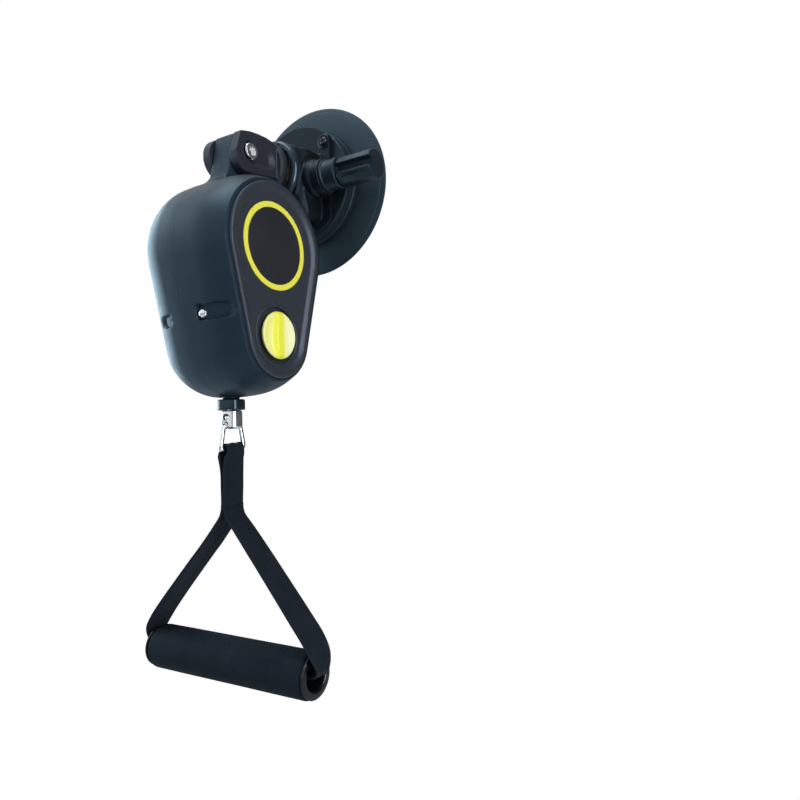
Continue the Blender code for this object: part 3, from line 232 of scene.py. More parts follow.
def lathe(name, outline, axis, centre, steps=96, edge=0.0):
    """Turns an outline of (radius, height) about an axis through centre, its corners rounded by edge."""
    if edge:
        outline = softened(outline, edge, closed=outline[0][0] > 1e-7)
    bm = bmesh.new()
    rings = []
    for radius, height in outline:
        ring = []
        for i in range(1 if radius < 1e-7 else steps):
            angle = math.tau * i / steps
            a = radius * math.cos(angle)
            b = radius * math.sin(angle)
            spot = {"X": (height, a, b), "Y": (a, height, b), "Z": (a, b, height)}[axis]
            ring.append(bm.verts.new(tuple(c + s for c, s in zip(centre, spot))))
        rings.append(ring)
    bridged(bm, rings + rings[:1])
    return as_object(name, bm)


def new_group(name, numbers, outputs):
    """An empty shader node group with float inputs and the named outputs."""
    tree = bpy.data.node_groups.new(name, "ShaderNodeTree")
    for label, value in numbers.items():
        socket = tree.interface.new_socket(label, in_out="INPUT", socket_type="NodeSocketFloat")
        socket.default_value = value
    for label, kind in outputs.items():
        tree.interface.new_socket(label, in_out="OUTPUT", socket_type=kind)
    return tree, tree.nodes.new("NodeGroupInput"), tree.nodes.new("NodeGroupOutput")


def noise(tree, place, scale, detail=2.0, roughness=0.5):
    values = {"Vector": place, "Scale": scale, "Detail": detail, "Roughness": roughness}
    return new_node(tree, "ShaderNodeTexNoise", values).outputs["Fac"]


def object_place(tree):
    """The point of the surface in its object's own axes."""
    return new_node(tree, "ShaderNodeTexCoord").outputs["Object"]


# Moulded grain: fine pits from the mould's texture, slow flow marks, and dust that has settled in specks.
FLOAT = "NodeSocketFloat"
tree, given, made = new_group(
    "moulded_skin",
    {"Grain Scale": 2600.0, "Flow Scale": 28.0, "Dust": 0.3},
    {"Height": FLOAT, "Tone": FLOAT, "Dullness": FLOAT},
)
moulded_skin = tree
where = object_place(tree)
pits = noise(tree, where, given.outputs["Grain Scale"], 2.0, 0.6)
flow = noise(tree, where, given.outputs["Flow Scale"], 4.0, 0.55)
smear = noise(tree, where, 95.0, 3.0, 0.6)
specks = noise(tree, where, 1900.0, 1.0, 0.5)
dust = math_node(tree, "MULTIPLY", ranged(tree, specks, 0.66, 0.72), given.outputs["Dust"])
tone = math_node(tree, "MULTIPLY_ADD", dust, 0.5, ranged(tree, flow, 0.3, 0.7, 0.35, 0.65))
dull = math_node(tree, "MULTIPLY_ADD", dust, 0.6, ranged(tree, smear, 0.3, 0.7, 0.0, 0.6))
filled(tree, made, {"Height": pits, "Tone": tone, "Dullness": dull})


def bare_material(name):
    material = bpy.data.materials.new(name)
    material.use_nodes = True
    return material, material.node_tree, material.node_tree.nodes["Principled BSDF"]


def toned(tree, amount, dark, light):
    """A colour between dark and light; either may be a socket."""
    ends = [end if isinstance(end, bpy.types.NodeSocket) else (*end, 1.0) for end in (dark, light)]
    values = {"A": ends[0], "B": ends[1], "Factor": amount}
    return new_node(tree, "ShaderNodeMix", values, data_type="RGBA").outputs["Result"]


def bumped(tree, shader, height, distance, strength=1.0):
    values = {"Height": height, "Distance": distance, "Strength": strength}
    filled(tree, shader, {"Normal": new_node(tree, "ShaderNodeBump", values).outputs["Normal"]})


def moulded_material(name, dark, light, gloss, grain, depth, dust, specular, tint, flow=28.0):
    """A moulded plastic or rubber: gloss is the (low, high) roughness, grain the texture's scale."""
    material, tree, shader = bare_material(name)
    values = {"Grain Scale": grain, "Flow Scale": flow, "Dust": dust}
    skin = new_node(tree, "ShaderNodeGroup", values, node_tree=moulded_skin).outputs
    look = {
        "Base Color": toned(tree, skin["Tone"], dark, light),
        "Roughness": ranged(tree, skin["Dullness"], 0.0, 1.0, *gloss),
        "Specular IOR Level": specular,
        "Specular Tint": (*tint, 1.0),
    }
    filled(tree, shader, look)
    bumped(tree, shader, skin["Height"], depth)
    return material


def fit(piece, body, material, slot, *replaced):
    """Finishes a new piece: its material, its body and the CAD nodes that it stands for; slot is not used."""
    piece.data.materials.clear()
    piece.data.materials.append(material)
    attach(piece, body)
    if replaced:
        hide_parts(*replaced)


def painted(material, *names):
    """Gives CAD nodes that keep their shape their finish."""
    for name in names:
        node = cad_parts[name]
        node.data.materials.clear()
        node.data.materials.append(material)


CUP_RADIUS = 0.0750
COOL = (0.50, 0.78, 1.0)
cup_rubber = moulded_material(
    "cup_rubber", dark=(0.012, 0.021, 0.028), light=(0.024, 0.038, 0.047), gloss=(0.46, 0.62), grain=1500.0,
    depth=0.00003, dust=0.5, specular=0.40, tint=COOL, flow=16.0,
)
outline = [(0.0, -0.0008), (0.0500, -0.0008), (0.0515, 0.0)]
for groove in (0.0560, 0.0610, 0.0660):
    outline += [(groove, 0.0), (groove + 0.0004, -0.0006), (groove + 0.0012, -0.0006), (groove + 0.0016, 0.0)]
outline += [(0.0722, 0.0), (CUP_RADIUS, -0.0009), (CUP_RADIUS, -0.0022), (0.0725, -0.0032)]
outline += [(0.0712, -0.0034), (0.0708, -0.0040), (0.0640, -0.0052), (0.0560, -0.0066), (0.0520, -0.0070)]
outline += [(0.0140, -0.0070), (0.0140, -0.0030), (0.0, -0.0030)]
suction_cup = lathe("rubber_cup", outline, "Y", WALL_PLACE, 160, 0.0006)
fit(suction_cup, "base", cup_rubber, "cup_rubber", "suction_cup")

# Cup cover
# A black cap that presses the rubber to the wall. Its rim has a small step, and a guide in its middle
# holds the pull stud.

COVER_RADIUS = 0.0510
COVER_FACE = -0.0220
STUD_HOLE = 0.0043
black_plastic = moulded_material(
    "black_plastic", dark=(0.007, 0.012, 0.017), light=(0.014, 0.022, 0.029), gloss=(0.34, 0.50),
    grain=2400.0, depth=0.00002, dust=0.3, specular=0.40, tint=COOL,
)
outline = [(STUD_HOLE, COVER_FACE), (0.0490, COVER_FACE), (0.0502, COVER_FACE + 0.0012)]
outline += [(0.0502, -0.0130), (COVER_RADIUS, -0.0122), (COVER_RADIUS, -0.0073), (0.0480, -0.0073)]
outline += [(0.0480, -0.0190), (0.0090, -0.0190), (0.0090, -0.0122), (STUD_HOLE, -0.0122)]
cup_cover = lathe("cover_cap", outline, "Y", WALL_PLACE, 144, 0.0006)
fit(cup_cover, "base", black_plastic, "black_plastic", "cup_cover")

# Metal parts and lining inside
# Turned and stamped parts inside the bracket and the housing. They keep the shape of the solids; only
# the finish is added: fine tool lines on steel and bronze, and a coarse grain on the brake's lining.

turned_metal, given, made = new_group(
    "turned_metal", {"Line Scale": 900.0, "Stain Scale": 60.0}, {"Lines": FLOAT, "Stain": FLOAT}
)
where = object_place(turned_metal)
lines = noise(turned_metal, where, given.outputs["Line Scale"], 3.0, 0.7)
stain = noise(turned_metal, where, given.outputs["Stain Scale"], 4.0, 0.6)
filled(turned_metal, made, {"Lines": lines, "Stain": stain})


def metal_material(name, dark, light, gloss, lines, depth):
    """A bare or plated metal with fine tool lines and a faint stain."""
    material, tree, shader = bare_material(name)
    look = new_node(tree, "ShaderNodeGroup", {"Line Scale": lines}, node_tree=turned_metal).outputs
    colour = toned(tree, look["Stain"], dark, light)
    roughness = ranged(tree, look["Stain"], 0.3, 0.7, *gloss)
    filled(tree, shader, {"Metallic": 1.0, "Base Color": colour, "Roughness": roughness})
    bumped(tree, shader, look["Lines"], depth)
    return material


PLAIN = (1.0, 1.0, 1.0)
plain_steel = metal_material(
    "plain_steel", (0.42, 0.42, 0.43), (0.60, 0.60, 0.60), (0.24, 0.40), 1400.0, 0.000006
)
bearing_bronze = metal_material(
    "bearing_bronze", (0.38, 0.23, 0.10), (0.62, 0.42, 0.20), (0.30, 0.48), 2200.0, 0.00002
)
friction_lining = moulded_material(
    "friction_lining", dark=(0.05, 0.035, 0.025), light=(0.12, 0.09, 0.06), gloss=(0.80, 0.95),
    grain=1800.0, depth=0.0001, dust=0.6, specular=0.3, tint=PLAIN, flow=220.0,
)
painted(plain_steel, "pull_stud", "cam_shaft", "swivel_bolt", "knob_screw", "brake_plate", "drum_axle")
painted(bearing_bronze, "lever_bush", "swivel_washer", "pivot_bush", "bearing_near", "bearing_far")
painted(friction_lining, "brake_pad")

# Bracket
# One black moulding: a flange screwed to the cover, a squared block that tapers into a round neck,
# and a boss on the dial side for the lever. Every edge is rounded as the mould leaves it.

FLANGE_RADIUS = 0.0500
FLANGE_HALF = 0.0350
SCREW_PLACES = [(0.0300, 0.0312), (-0.0300, 0.0312), (0.0120, -0.0430), (-0.0120, -0.0430)]
LEVER_PLACE = (0.0, -0.0375, -0.0045)


def arc(centre, radius, start, end, count):
    """Points on an arc, angles in degrees."""
    points = []
    for i in range(count):
        angle = math.radians(start + (end - start) * i / (count - 1))
        points.append((centre[0] + radius * math.cos(angle), centre[1] + radius * math.sin(angle)))
    return points


def skin(name, rings):
    """A closed body through rings of equal count, capped at both ends."""
    bm = bmesh.new()
    rows = [[bm.verts.new(p) for p in ring] for ring in rings]
    bridged(bm, rows)
    bm.faces.new(rows[0])
    bm.faces.new(rows[-1])
    return as_object(name, bm)


def placed(outline, axis, height):
    """A flat outline set across an axis at a height: X takes (y, z), Y takes (x, z), Z takes (x, y)."""
    if axis == "X":
        return [(height, a, b) for a, b in outline]
    if axis == "Y":
        return [(a, height, b) for a, b in outline]
    return [(a, b, height) for a, b in outline]


def slab(name, outline, low, high, axis):
    return skin(name, [placed(outline, axis, low), placed(outline, axis, high)])


def plain_rod(name, radius, low, high, axis, centre, steps=64):
    outline = [(0.0, low), (radius, low), (radius, high), (0.0, high)]
    return lathe(name, outline, axis, centre, steps)


def block(name, low, high, edge):
    """A box with rounded upright edges along Y."""
    corners = [(low[0], low[2]), (high[0], low[2]), (high[0], high[2]), (low[0], high[2])]
    return slab(name, softened(corners, edge, 6), low[1], high[1], "Y")


def baked(piece):
    """Replaces a piece's modifiers by the mesh they give."""
    depsgraph = bpy.context.evaluated_depsgraph_get()
    mesh = bpy.data.meshes.new_from_object(piece.evaluated_get(depsgraph))
    piece.modifiers.clear()
    old = piece.data
    piece.data = mesh
    bpy.data.meshes.remove(old)
    return piece


def combined(body, tools, operation):
    for tool in tools:
        change = body.modifiers.new(tool.name, "BOOLEAN")
        change.object = tool
        change.operation = operation
        change.solver = "EXACT"
        baked(body)
        bpy.data.objects.remove(tool)
    return body


def cut(body, *tools):
    return combined(body, tools, "DIFFERENCE")


def moulded(name, solids, hollows, voxel, passes, crease=50.0):
    """Fuses rough solids, cuts the hollows, and rounds every edge as a moulding has them."""
    body = combined(solids[0], solids[1:], "UNION")
    cut(body, *hollows)
    body.name = name
    remesh = body.modifiers.new("even_skin", "REMESH")
    remesh.mode = "VOXEL"
    remesh.voxel_size = voxel
    rounding = body.modifiers.new("rounding", "SMOOTH")
    rounding.factor = 0.5
    rounding.iterations = passes
    return smoothed(baked(body), crease)


def rounded_box_ring(y, half, low, high, corner):
    outline = softened([(half, low), (half, high), (-half, high), (-half, low)], corner, 12)
    return placed(outline, "Y", y)


# A darker copy of the black plastic: painted shade for the bracket, which lies in shadow.
bracket_shaded_plastic = moulded_material(
    "bracket_shaded_plastic", dark=(0.0040, 0.0055, 0.0080), light=(0.0090, 0.0110, 0.0150), gloss=(0.36, 0.50),
    grain=2100.0, depth=0.00003, dust=0.3, specular=0.30, tint=COOL,
)
half_angle = math.degrees(math.acos(FLANGE_HALF / FLANGE_RADIUS))
outline = arc((0, 0), FLANGE_RADIUS, half_angle, 180 - half_angle, 60)
outline += arc((0, 0), FLANGE_RADIUS, 180 + half_angle, 360 - half_angle, 60)
boss = [(0.0, 0.0), (0.0158, 0.0), (0.0158, 0.0310), (0.0145, 0.0325), (0.0145, 0.0405), (0.0, 0.0405)]
block_rings = []
for y, half, low, high, corner in (
    (-0.0240, 0.0260, -0.0370, 0.0220, 0.0050),
    (-0.0450, 0.0260, -0.0370, 0.0220, 0.0060),
    (-0.0505, 0.0258, -0.0325, 0.0235, 0.0160),
    (-0.0540, 0.0262, -0.0262, 0.0262, 0.0340),
    (-0.0555, 0.0262, -0.0262, 0.0262, 0.0340),
):
    block_rings.append(rounded_box_ring(y, half, low, high, corner))
solids = [
    slab("flange", outline, -0.0223, -0.0270, "Y"),
    skin("block", block_rings),
    plain_rod("neck", 0.0150, -0.0500, -0.0615, "Y", WALL_PLACE),
    lathe("boss", boss, "X", LEVER_PLACE, 64),
]
hollows = [
    block("cam_room", (-0.0040, -0.0530, -0.0185), (0.0040, -0.0190, 0.0125), 0.0004),
    plain_rod("bush_bore", 0.0119, 0.0, 0.0450, "X", LEVER_PLACE),
    plain_rod("shaft_bore", 0.0058, -0.0200, 0.0050, "X", LEVER_PLACE),
    plain_rod("bolt_bore", 0.0053, -0.0645, -0.0547, "Y", WALL_PLACE),
    plain_rod("rod_hole", STUD_HOLE, -0.0300, -0.0190, "Y", WALL_PLACE),
]
for x, z in SCREW_PLACES:
    solids.append(plain_rod("screw_pad", 0.0056, -0.0250, -0.0284, "Y", (x, 0, z), 40))
    hollows.append(plain_rod("screw_hole", 0.0022, -0.0310, -0.0200, "Y", (x, 0, z), 24))
    hollows.append(plain_rod("screw_seat", 0.0044, -0.0310, -0.0271, "Y", (x, 0, z), 40))
bracket = moulded("wall_bracket", solids, hollows, 0.0006, 5)
fit(bracket, "base", bracket_shaded_plastic, "black_plastic", "bracket")

# Flange screws
# Four pan-head screws with a cross recess hold the flange to the cover's posts.


def cross_recess(depth, width, reach, place, axis, front):
    """Two crossed wedges that cut a cross recess; front is the side the head faces along its axis."""
    tools = []
    for turn in (0, 90):
        tilt = math.radians(turn + 20)
        tip = (math.cos(tilt), math.sin(tilt))
        side = (-tip[1], tip[0])
        top = [(reach * a, width * b) for a, b in ((1, 0.5), (-1, 0.5), (-1, -0.5), (1, -0.5))]
        foot = [(0.35 * u, 0.5 * v) for u, v in top]
        rings = []
        for corners, height in ((top, front * depth * 0.6), (foot, -front * depth)):
            flat = [(u * tip[0] + v * side[0], u * tip[1] + v * side[1]) for u, v in corners]
            rings.append([tuple(c + p for c, p in zip(place, spot)) for spot in placed(flat, axis, height)])
        tools.append(skin("recess", rings))
    return tools


black_steel = metal_material(
    "black_steel", (0.030, 0.036, 0.042), (0.075, 0.082, 0.090), (0.24, 0.38), 1500.0, 0.00001
)
PAN_TOP = -0.0295
SHANK = 0.0019
for i, (x, z) in enumerate(SCREW_PLACES):
    outline = [(0.0, PAN_TOP), (0.0026, PAN_TOP), (0.0037, -0.0284), (0.0038, -0.0273), (SHANK, -0.0273)]
    outline += [(SHANK, -0.0125), (0.0010, -0.0115), (0.0, -0.0115)]
    screw = lathe(f"flange_pan_screw_{i + 1}", outline, "Y", (x, 0, z), 48, 0.0004)
    cut(screw, *cross_recess(0.0013, 0.0009, 0.0021, (x, PAN_TOP, z), "Y", -1))
    fit(smoothed(screw), "base", black_steel, "plain_steel", f"flange_screw_{i + 1}")

# Locking lever
# A black sleeve runs in the boss. The handle is a black moulding pushed on the cam shaft, with a deep
# groove along its front and a thin fin under it.

SLEEVE_END = 0.0553
HANDLE_START = 0.0563
HANDLE_TIP = 0.0890
HANDLE_RADIUS = 0.0114
SOFT_COOL = (0.72, 0.82, 1.0)
charcoal_plastic = moulded_material(
    "charcoal_plastic", dark=(0.017, 0.019, 0.026), light=(0.030, 0.033, 0.043), gloss=(0.38, 0.52),
    grain=2100.0, depth=0.00003, dust=0.4, specular=0.45, tint=SOFT_COOL,
)
outline = [(0.0058, 0.0408), (0.0135, 0.0408), (0.0135, 0.0424), (0.0123, 0.0430), (0.0123, 0.0520)]
outline += [(0.0127, 0.0524), (0.0127, 0.0546), (0.0119, SLEEVE_END), (0.0058, SLEEVE_END)]
sleeve = lathe("lever_ring_sleeve", outline, "X", LEVER_PLACE, 96, 0.0004)
fit(sleeve, "lever", black_plastic, "black_plastic", "lever_sleeve")


def handle_section(shrink):
    """The handle's outline round its axis as (y, z): a round bar, a groove in front and a fin below."""
    radius = HANDLE_RADIUS - shrink
    points = arc((0, 0), radius, 163, -75, 60)
    points += [(0.0058 - shrink, -0.0114 + shrink), (-0.0040, -0.0114 + shrink)]
    points += [(-0.0092 + shrink, -0.0082 + shrink * 0.4), (-0.0110 + shrink, -0.0058)]
    points += [(-0.0110 + shrink, -0.0040 - shrink), (-0.0062, -0.0030), (-0.0056, 0.0004), (-0.0064, 0.0028)]
    return [(LEVER_PLACE[1] + y, LEVER_PLACE[2] + z) for y, z in softened(points, 0.0009, 5)]


rings = []
for x, shrink in (
    (HANDLE_START, 0.0008),
    (HANDLE_START + 0.0002, 0.0004),
    (HANDLE_START + 0.0008, 0.0),
    (HANDLE_TIP - 0.0009, 0.0),
    (HANDLE_TIP - 0.0003, 0.0004),
    (HANDLE_TIP, 0.0010),
):
    rings.append(placed(handle_section(shrink), "X", x))
handle = skin("lever_grip_handle", rings)
fit(handle, "lever", black_plastic, "panel_plastic", "lever_handle")

# Swivel collar
# A black ring pressed on the bracket's neck; its turned edge catches the light behind the yoke.

outline = [(0.0153, -0.0558), (0.0258, -0.0558), (0.0267, -0.0564), (0.0270, -0.0576), (0.0268, -0.0592)]
outline += [(0.0260, -0.0607), (0.0248, -0.0617), (0.0234, -0.0620), (0.0228, -0.0614), (0.0153, -0.0616)]
collar = lathe("neck_collar", outline, "Y", WALL_PLACE, 144, 0.0005)
collar_plastic = moulded_material(
    "collar_plastic", dark=(0.009, 0.015, 0.021), light=(0.018, 0.027, 0.035), gloss=(0.09, 0.18),
    grain=2400.0, depth=0.00001, dust=0.2, specular=0.6, tint=COOL,
)
fit(collar, "base", collar_plastic, "black_plastic", "swivel_collar")

# Yoke
# A charcoal fork that turns on the neck. The near ear has a pointed top corner and the far ear is
# round; each has a shallow relief round its bolt seat. It is moulded in one piece with its round base.

PIVOT_Y = -0.1020
PIVOT_PLACE = (0, PIVOT_Y, 0)
EAR_INNER = 0.0100
EAR_OUTER = 0.0170
BOLT_HOLE = 0.0043
YOKE_BACK = -0.0656


def ear_outline(side):
    """An ear's outline as (y, z): pointed at the top corner on the near side, round on the far side."""
    root = YOKE_BACK - 0.002
    if side > 0:
        points = [(-0.1125, 0.0130), (-0.1178, -0.0035), (-0.1172, -0.0085)]
        points += arc((-0.1068, -0.0072), 0.0102, 200, 262, 12)
    else:
        points = arc((-0.1030, -0.0010), 0.0158, 95, 250, 30)
    points += [(-0.0930, -0.0150), (-0.0810, -0.0130), (root, -0.0115)]
    points += [(root, 0.0125), (-0.0760, 0.0160), (-0.0840, 0.0170), (-0.0930, 0.0168)]
    if side > 0:
        points.append((-0.1030, 0.0156))
    return softened(points, 0.0010 if side > 0 else 0.0030, 5)


def stadium(inset):
    """The relief's outline round the bolt and along the ear, grown by a negative inset."""
    front = arc((PIVOT_Y + 0.003, 0.0), 0.0098 - inset, 90, 270, 40)
    return front + arc((-0.0835, 0.0), 0.0088 - inset, -90, 90, 40)


outline = [(0.0053, YOKE_BACK), (0.0211, YOKE_BACK), (0.0223, -0.0668), (0.0223, -0.0713)]
outline += [(0.0208, -0.0728), (0.0053, -0.0728)]
solids = [lathe("yoke_base", outline, "Y", WALL_PLACE, 96)]
hollows = []
for side in (1, -1):
    solids.append(slab("ear", ear_outline(side), side * EAR_INNER, side * EAR_OUTER, "X"))
    roots = ((-0.0710, 0.0150), (-0.0760, 0.0120))
    solids.append(skin("ear_root", [rounded_box_ring(y, 0.0030, -half, half, 0.002) for y, half in roots]))
    solids[-1].data.transform(Matrix.Translation((side * 0.0115, 0, 0)))
    relief = [placed(stadium(0.0048), "X", side * (EAR_OUTER - 0.0025))]
    relief.append(placed(stadium(-0.0010), "X", side * (EAR_OUTER + 0.0006)))
    hollows.append(skin("relief", relief))
    seat = sorted((side * (EAR_OUTER - 0.0030), side * (EAR_OUTER + 0.0030)))
    hollows.append(plain_rod("counterbore", 0.0080, *seat, "X", PIVOT_PLACE, 72))
hollows.append(plain_rod("bolt_hole", BOLT_HOLE, -0.0200, 0.0200, "X", PIVOT_PLACE, 40))
yoke = moulded("swivel_yoke", solids, hollows, 0.00036, 4)
fit(yoke, "yoke", charcoal_plastic, "panel_plastic", "yoke")

# Pivot bolt and nut
# A chrome socket-head bolt through both ears, and a six-sided nut sunk in the far ear's seat.

chrome = metal_material(
    "chrome_plate", (0.90, 0.91, 0.92), (1.0, 1.0, 0.99), (0.08, 0.18), 500.0, 0.000004
)

SEAT = EAR_OUTER - 0.0030 + GAP
outline = [(0.0, -SEAT - 0.0045), (0.0034, -SEAT - 0.0045), (0.0040, -SEAT - 0.0039), (0.0040, SEAT)]
outline += [(0.0065, SEAT), (0.0065, SEAT + 0.0034), (0.0058, SEAT + 0.0042), (0.0, SEAT + 0.0042)]
bolt = lathe("pivot_socket_bolt", outline, "X", PIVOT_PLACE, 96, 0.0004)
hexagon = arc((PIVOT_Y, 0.0), 0.0036, 10, 310, 6)
socket = slab("socket", hexagon, SEAT + 0.0018, SEAT + 0.0060, "X")
mouth = [(0.0, SEAT + 0.0037), (0.0033, SEAT + 0.0037), (0.0040, SEAT + 0.0045), (0.0, SEAT + 0.0045)]
cut(bolt, socket, lathe("socket_mouth", mouth, "X", PIVOT_PLACE, 48))
fit(smoothed(bolt), "yoke", chrome, "chrome_steel", "pivot_bolt")

nut_face = -SEAT - 0.0050
nut = slab("pivot_hex_nut", arc((PIVOT_Y, 0.0), 0.0070, 0, 300, 6), nut_face, -SEAT, "X")
outline = [(0.0, nut_face), (0.0058, nut_face), (0.0071, nut_face + 0.0009), (0.0071, -SEAT - 0.0006)]
outline += [(0.0062, -SEAT), (0.0, -SEAT)]
combined(nut, [lathe("nut_chamfer", outline, "X", PIVOT_PLACE, 72)], "INTERSECT")
cut(nut, plain_rod("nut_bore", BOLT_HOLE, nut_face - 0.001, -SEAT + 0.001, "X", PIVOT_PLACE))
fit(smoothed(nut, 30), "yoke", chrome, "chrome_steel", "pivot_nut")

# Housing shells
# Two moulded halves meet on the rope's plane with a fine gap. Each carries half of the hinge lug, whose
# foot runs out into the shoulder, and a trough for each housing screw is sunk in the flanks.

RING_Y = -0.1110
RING_Z = -0.0800
KNOB_Z = -0.1450
BADGE_PLACE = (0, RING_Y, RING_Z)
KNOB_PLACE = (0, RING_Y, KNOB_Z)
ROPE_PLACE = (0, RING_Y, 0)
PANEL_RADIUS = 0.0450
PANEL_LOW_RADIUS = 0.0294
SHELL_FACE = 0.0437
SHELL_WALL = 0.0030
CROWN = 0.0092
BODY_HALF = 0.044
BODY_DROP = 0.0040
WALL_SWELL = 0.06
NEAR_START = 0.018
NEAR_ROUND = 0.026
NEAR_FALL = 0.0042
FAR_START = -0.0140
FAR_ROUND = 0.0330
FAR_FALL = 0.0010
PARTING = 0.00006

LUG_HALF = 0.0094
LUG_BORE = 0.0068
FOOT_FRONT = -0.1205
FOOT_REAR = -0.0895
FOOT_NEAR_REACH = 0.0070
FOOT_FAR_REACH = 0.0300
FOOT_FRONT_REACH = 0.0130
FOOT_REAR_REACH = 0.0070
FOOT_HEIGHT = 0.0062
FOOT_LEVEL = -0.060

SCREW_Z = -0.1304
SCREW_INSET = 0.0392
SCREW_SEAT = 0.0138
FAR_SEAT = -0.0150
FAR_SCREW_Z = -0.1330
NEAR_TROUGH_RADIUS = 0.0045
FAR_TROUGH_RADIUS = 0.0038
TROUGH_BAND = 0.012
TROUGH_EDGE = 0.0028
TROUGH_SPREAD = 0.0008
SPREAD_REACH = 0.015
FLAT_RUN = 0.0040
NEAR_RUN_OUT = 0.16
FAR_RUN_OUT = 0.30
REAR_TROUGH_END = 0.0285
REAR_END_SLOPE = 5
SEAT_SLOPE = 7
FLANK_SLOPE = 6

PANEL_REAR = 0.0011
KNOB_HOLE = 0.0043
OUTLET_HOLE = 0.0067


def spaced(*runs):
    """Shares from 0 to 1 with its own count of steps for each run (end, steps)."""
    shares = [0.0]
    for end, steps in runs:
        start = shares[-1]
        shares += [start + (end - start) * (i + 1) / steps for i in range(steps)]
    return shares


def straight(start, end, count):
    """The points between two points, without its ends."""
    return [tuple(Vector(start).lerp(Vector(end), i / count)) for i in range(1, count)]


def teardrop(offset, drop=0.0):
    """The housing's side outline as (y, z), grown by offset, its lower round dropped by drop."""
    low_z = KNOB_Z - drop
    tilt = math.asin((PANEL_RADIUS - PANEL_LOW_RADIUS) / (RING_Z - low_z))
    upper = []
    radius = PANEL_RADIUS + offset
    for share in spaced((0.36, 30), (0.64, 96), (1.0, 30)):
        angle = -tilt + (math.pi + 2 * tilt) * share
        upper.append((RING_Y + radius * math.cos(angle), RING_Z + radius * math.sin(angle)))
    lower = []
    radius = PANEL_LOW_RADIUS + offset
    for share in spaced((1.0, 72)):
        angle = math.pi + tilt + (math.pi - 2 * tilt) * share
        lower.append((RING_Y + radius * math.cos(angle), low_z + radius * math.sin(angle)))
    return upper + straight(upper[-1], lower[0], 110) + lower + straight(lower[-1], upper[0], 60)


def panel_ring(offset, x):
    """The panel's outline at x: it sits a little to the rear of the housing's middle."""
    return [(x, y + PANEL_REAR, z) for y, z in teardrop(offset)]


def bulge(x):
    """How far the housing stands outside the panel's outline at x."""
    if x >= 0:
        edge = max(0.0, (x - NEAR_START) / NEAR_ROUND)
        return CROWN - NEAR_FALL * edge**2.6
    share = min(1.0, 0.5 * x / FAR_START)
    lean = max(0.0, min(1.0, (FAR_START - x) / FAR_ROUND))
    return CROWN - FAR_FALL * share * share * (3 - 2 * share) - FAR_ROUND * (1 - math.sqrt(1 - lean * lean))


def body_outline(x, inset=0.0):
    drop = BODY_DROP * (1 - min(1.0, abs(x) / BODY_HALF) ** 2)
    return [(y + WALL_SWELL * max(0.0, y - RING_Y), z) for y, z in teardrop(bulge(x) - inset, drop)]


def soft_lower(first, second, reach):
    """The lower of two heights, with the corner between them rounded over reach."""
    overlap = max(reach - abs(first - second), 0.0) / reach
    return min(first, second) - overlap * overlap * reach / 4


def trough_depth(x, z, seat, heading, radius):
    """How far from the mid-line a screw trough's bottom lies; heading is the side it runs to along X."""
    near = heading > 0
    off = abs(z - (SCREW_Z if near else FAR_SCREW_Z))
    run = abs(x) - abs(seat)
    radius += TROUGH_SPREAD * min(1.0, max(0.0, run) / SPREAD_REACH)
    bottom = SCREW_INSET - math.sqrt(max(0.0, radius * radius - off * off))
    bottom += max(0.0, off - radius) * FLANK_SLOPE
    bottom += max(0.0, run - FLAT_RUN) * (NEAR_RUN_OUT if near else FAR_RUN_OUT)
    return bottom + max(0.0, (seat - x) * heading) * SEAT_SLOPE


def foot_rise(x, y):
    """The lug's foot: how much the shoulder is raised where it curves up into the lug."""
    side = max(0.0, abs(x) - LUG_HALF + 0.0006)
    front = max(0.0, FOOT_FRONT - y)
    rear = max(0.0, y - FOOT_REAR)
    wide = FOOT_FAR_REACH if x < 0 else FOOT_NEAR_REACH
    away = math.sqrt((side / wide) ** 2 + (front / FOOT_FRONT_REACH) ** 2 + (rear / FOOT_REAR_REACH) ** 2)
    if away >= 1:
        return 0.0
    return FOOT_HEIGHT * (1 - math.sqrt(1 - (1 - away) ** 2)) ** 0.9


def shell_point(x, y, z):
    """A point of the plain body moved for the troughs and for the lug's foot."""
    across = y - RING_Y
    side = 1 if across > 0 else -1
    depth = abs(across)
    if abs(z - SCREW_Z) < TROUGH_BAND:
        if x > 0:
            floor_depth = trough_depth(x, z, SCREW_SEAT, 1, NEAR_TROUGH_RADIUS)
        else:
            floor_depth = trough_depth(x, z, FAR_SEAT, -1, FAR_TROUGH_RADIUS)
        if side > 0 and x > REAR_TROUGH_END:
            floor_depth += (x - REAR_TROUGH_END) * REAR_END_SLOPE
        depth = soft_lower(depth, floor_depth, TROUGH_EDGE)
    if z > FOOT_LEVEL:
        z += foot_rise(x, y)
    return (x, RING_Y + side * depth, z)


def joined(name, pieces, crease=38.0):
    """One object out of several closed bodies."""
    bm = bmesh.new()
    for part in pieces:
        bm.from_mesh(part.data)
        bpy.data.objects.remove(part)
    return as_object(name, bm, crease)


def half_lug(side):
    """Half of the hinge lug, from the parting plane to its outer face, bored for the bush."""
    outline = [(-0.0900, -0.0360), (-0.0895, -0.0060)]
    outline += arc((PIVOT_Y, 0.0), 0.0128, -18, 100, 24)
    outline += [(-0.1125, 0.0128), (-0.1150, 0.0020), (-0.1172, -0.0120)]
    outline += [(-0.1215, -0.0260), (-0.1260, -0.0360)]
    outline = softened(outline, 0.0015, 4)
    rings = []
    for x, inset in (
        (PARTING, 0.0),
        (LUG_HALF - 0.0016, 0.0),
        (LUG_HALF - 0.0010, 0.00002),
        (LUG_HALF - 0.0003, 0.0003),
        (LUG_HALF, 0.0010),
    ):
        share = 1 - inset / 0.018
        ring = [(-0.1040 + (y + 0.1040) * share, -0.0120 + (z + 0.0120) * share) for y, z in outline]
        rings.append(placed(ring, "X", side * x))
    return cut(skin("lug", rings), plain_rod("lug_bore", LUG_BORE, -0.020, 0.020, "X", PIVOT_PLACE, 48))


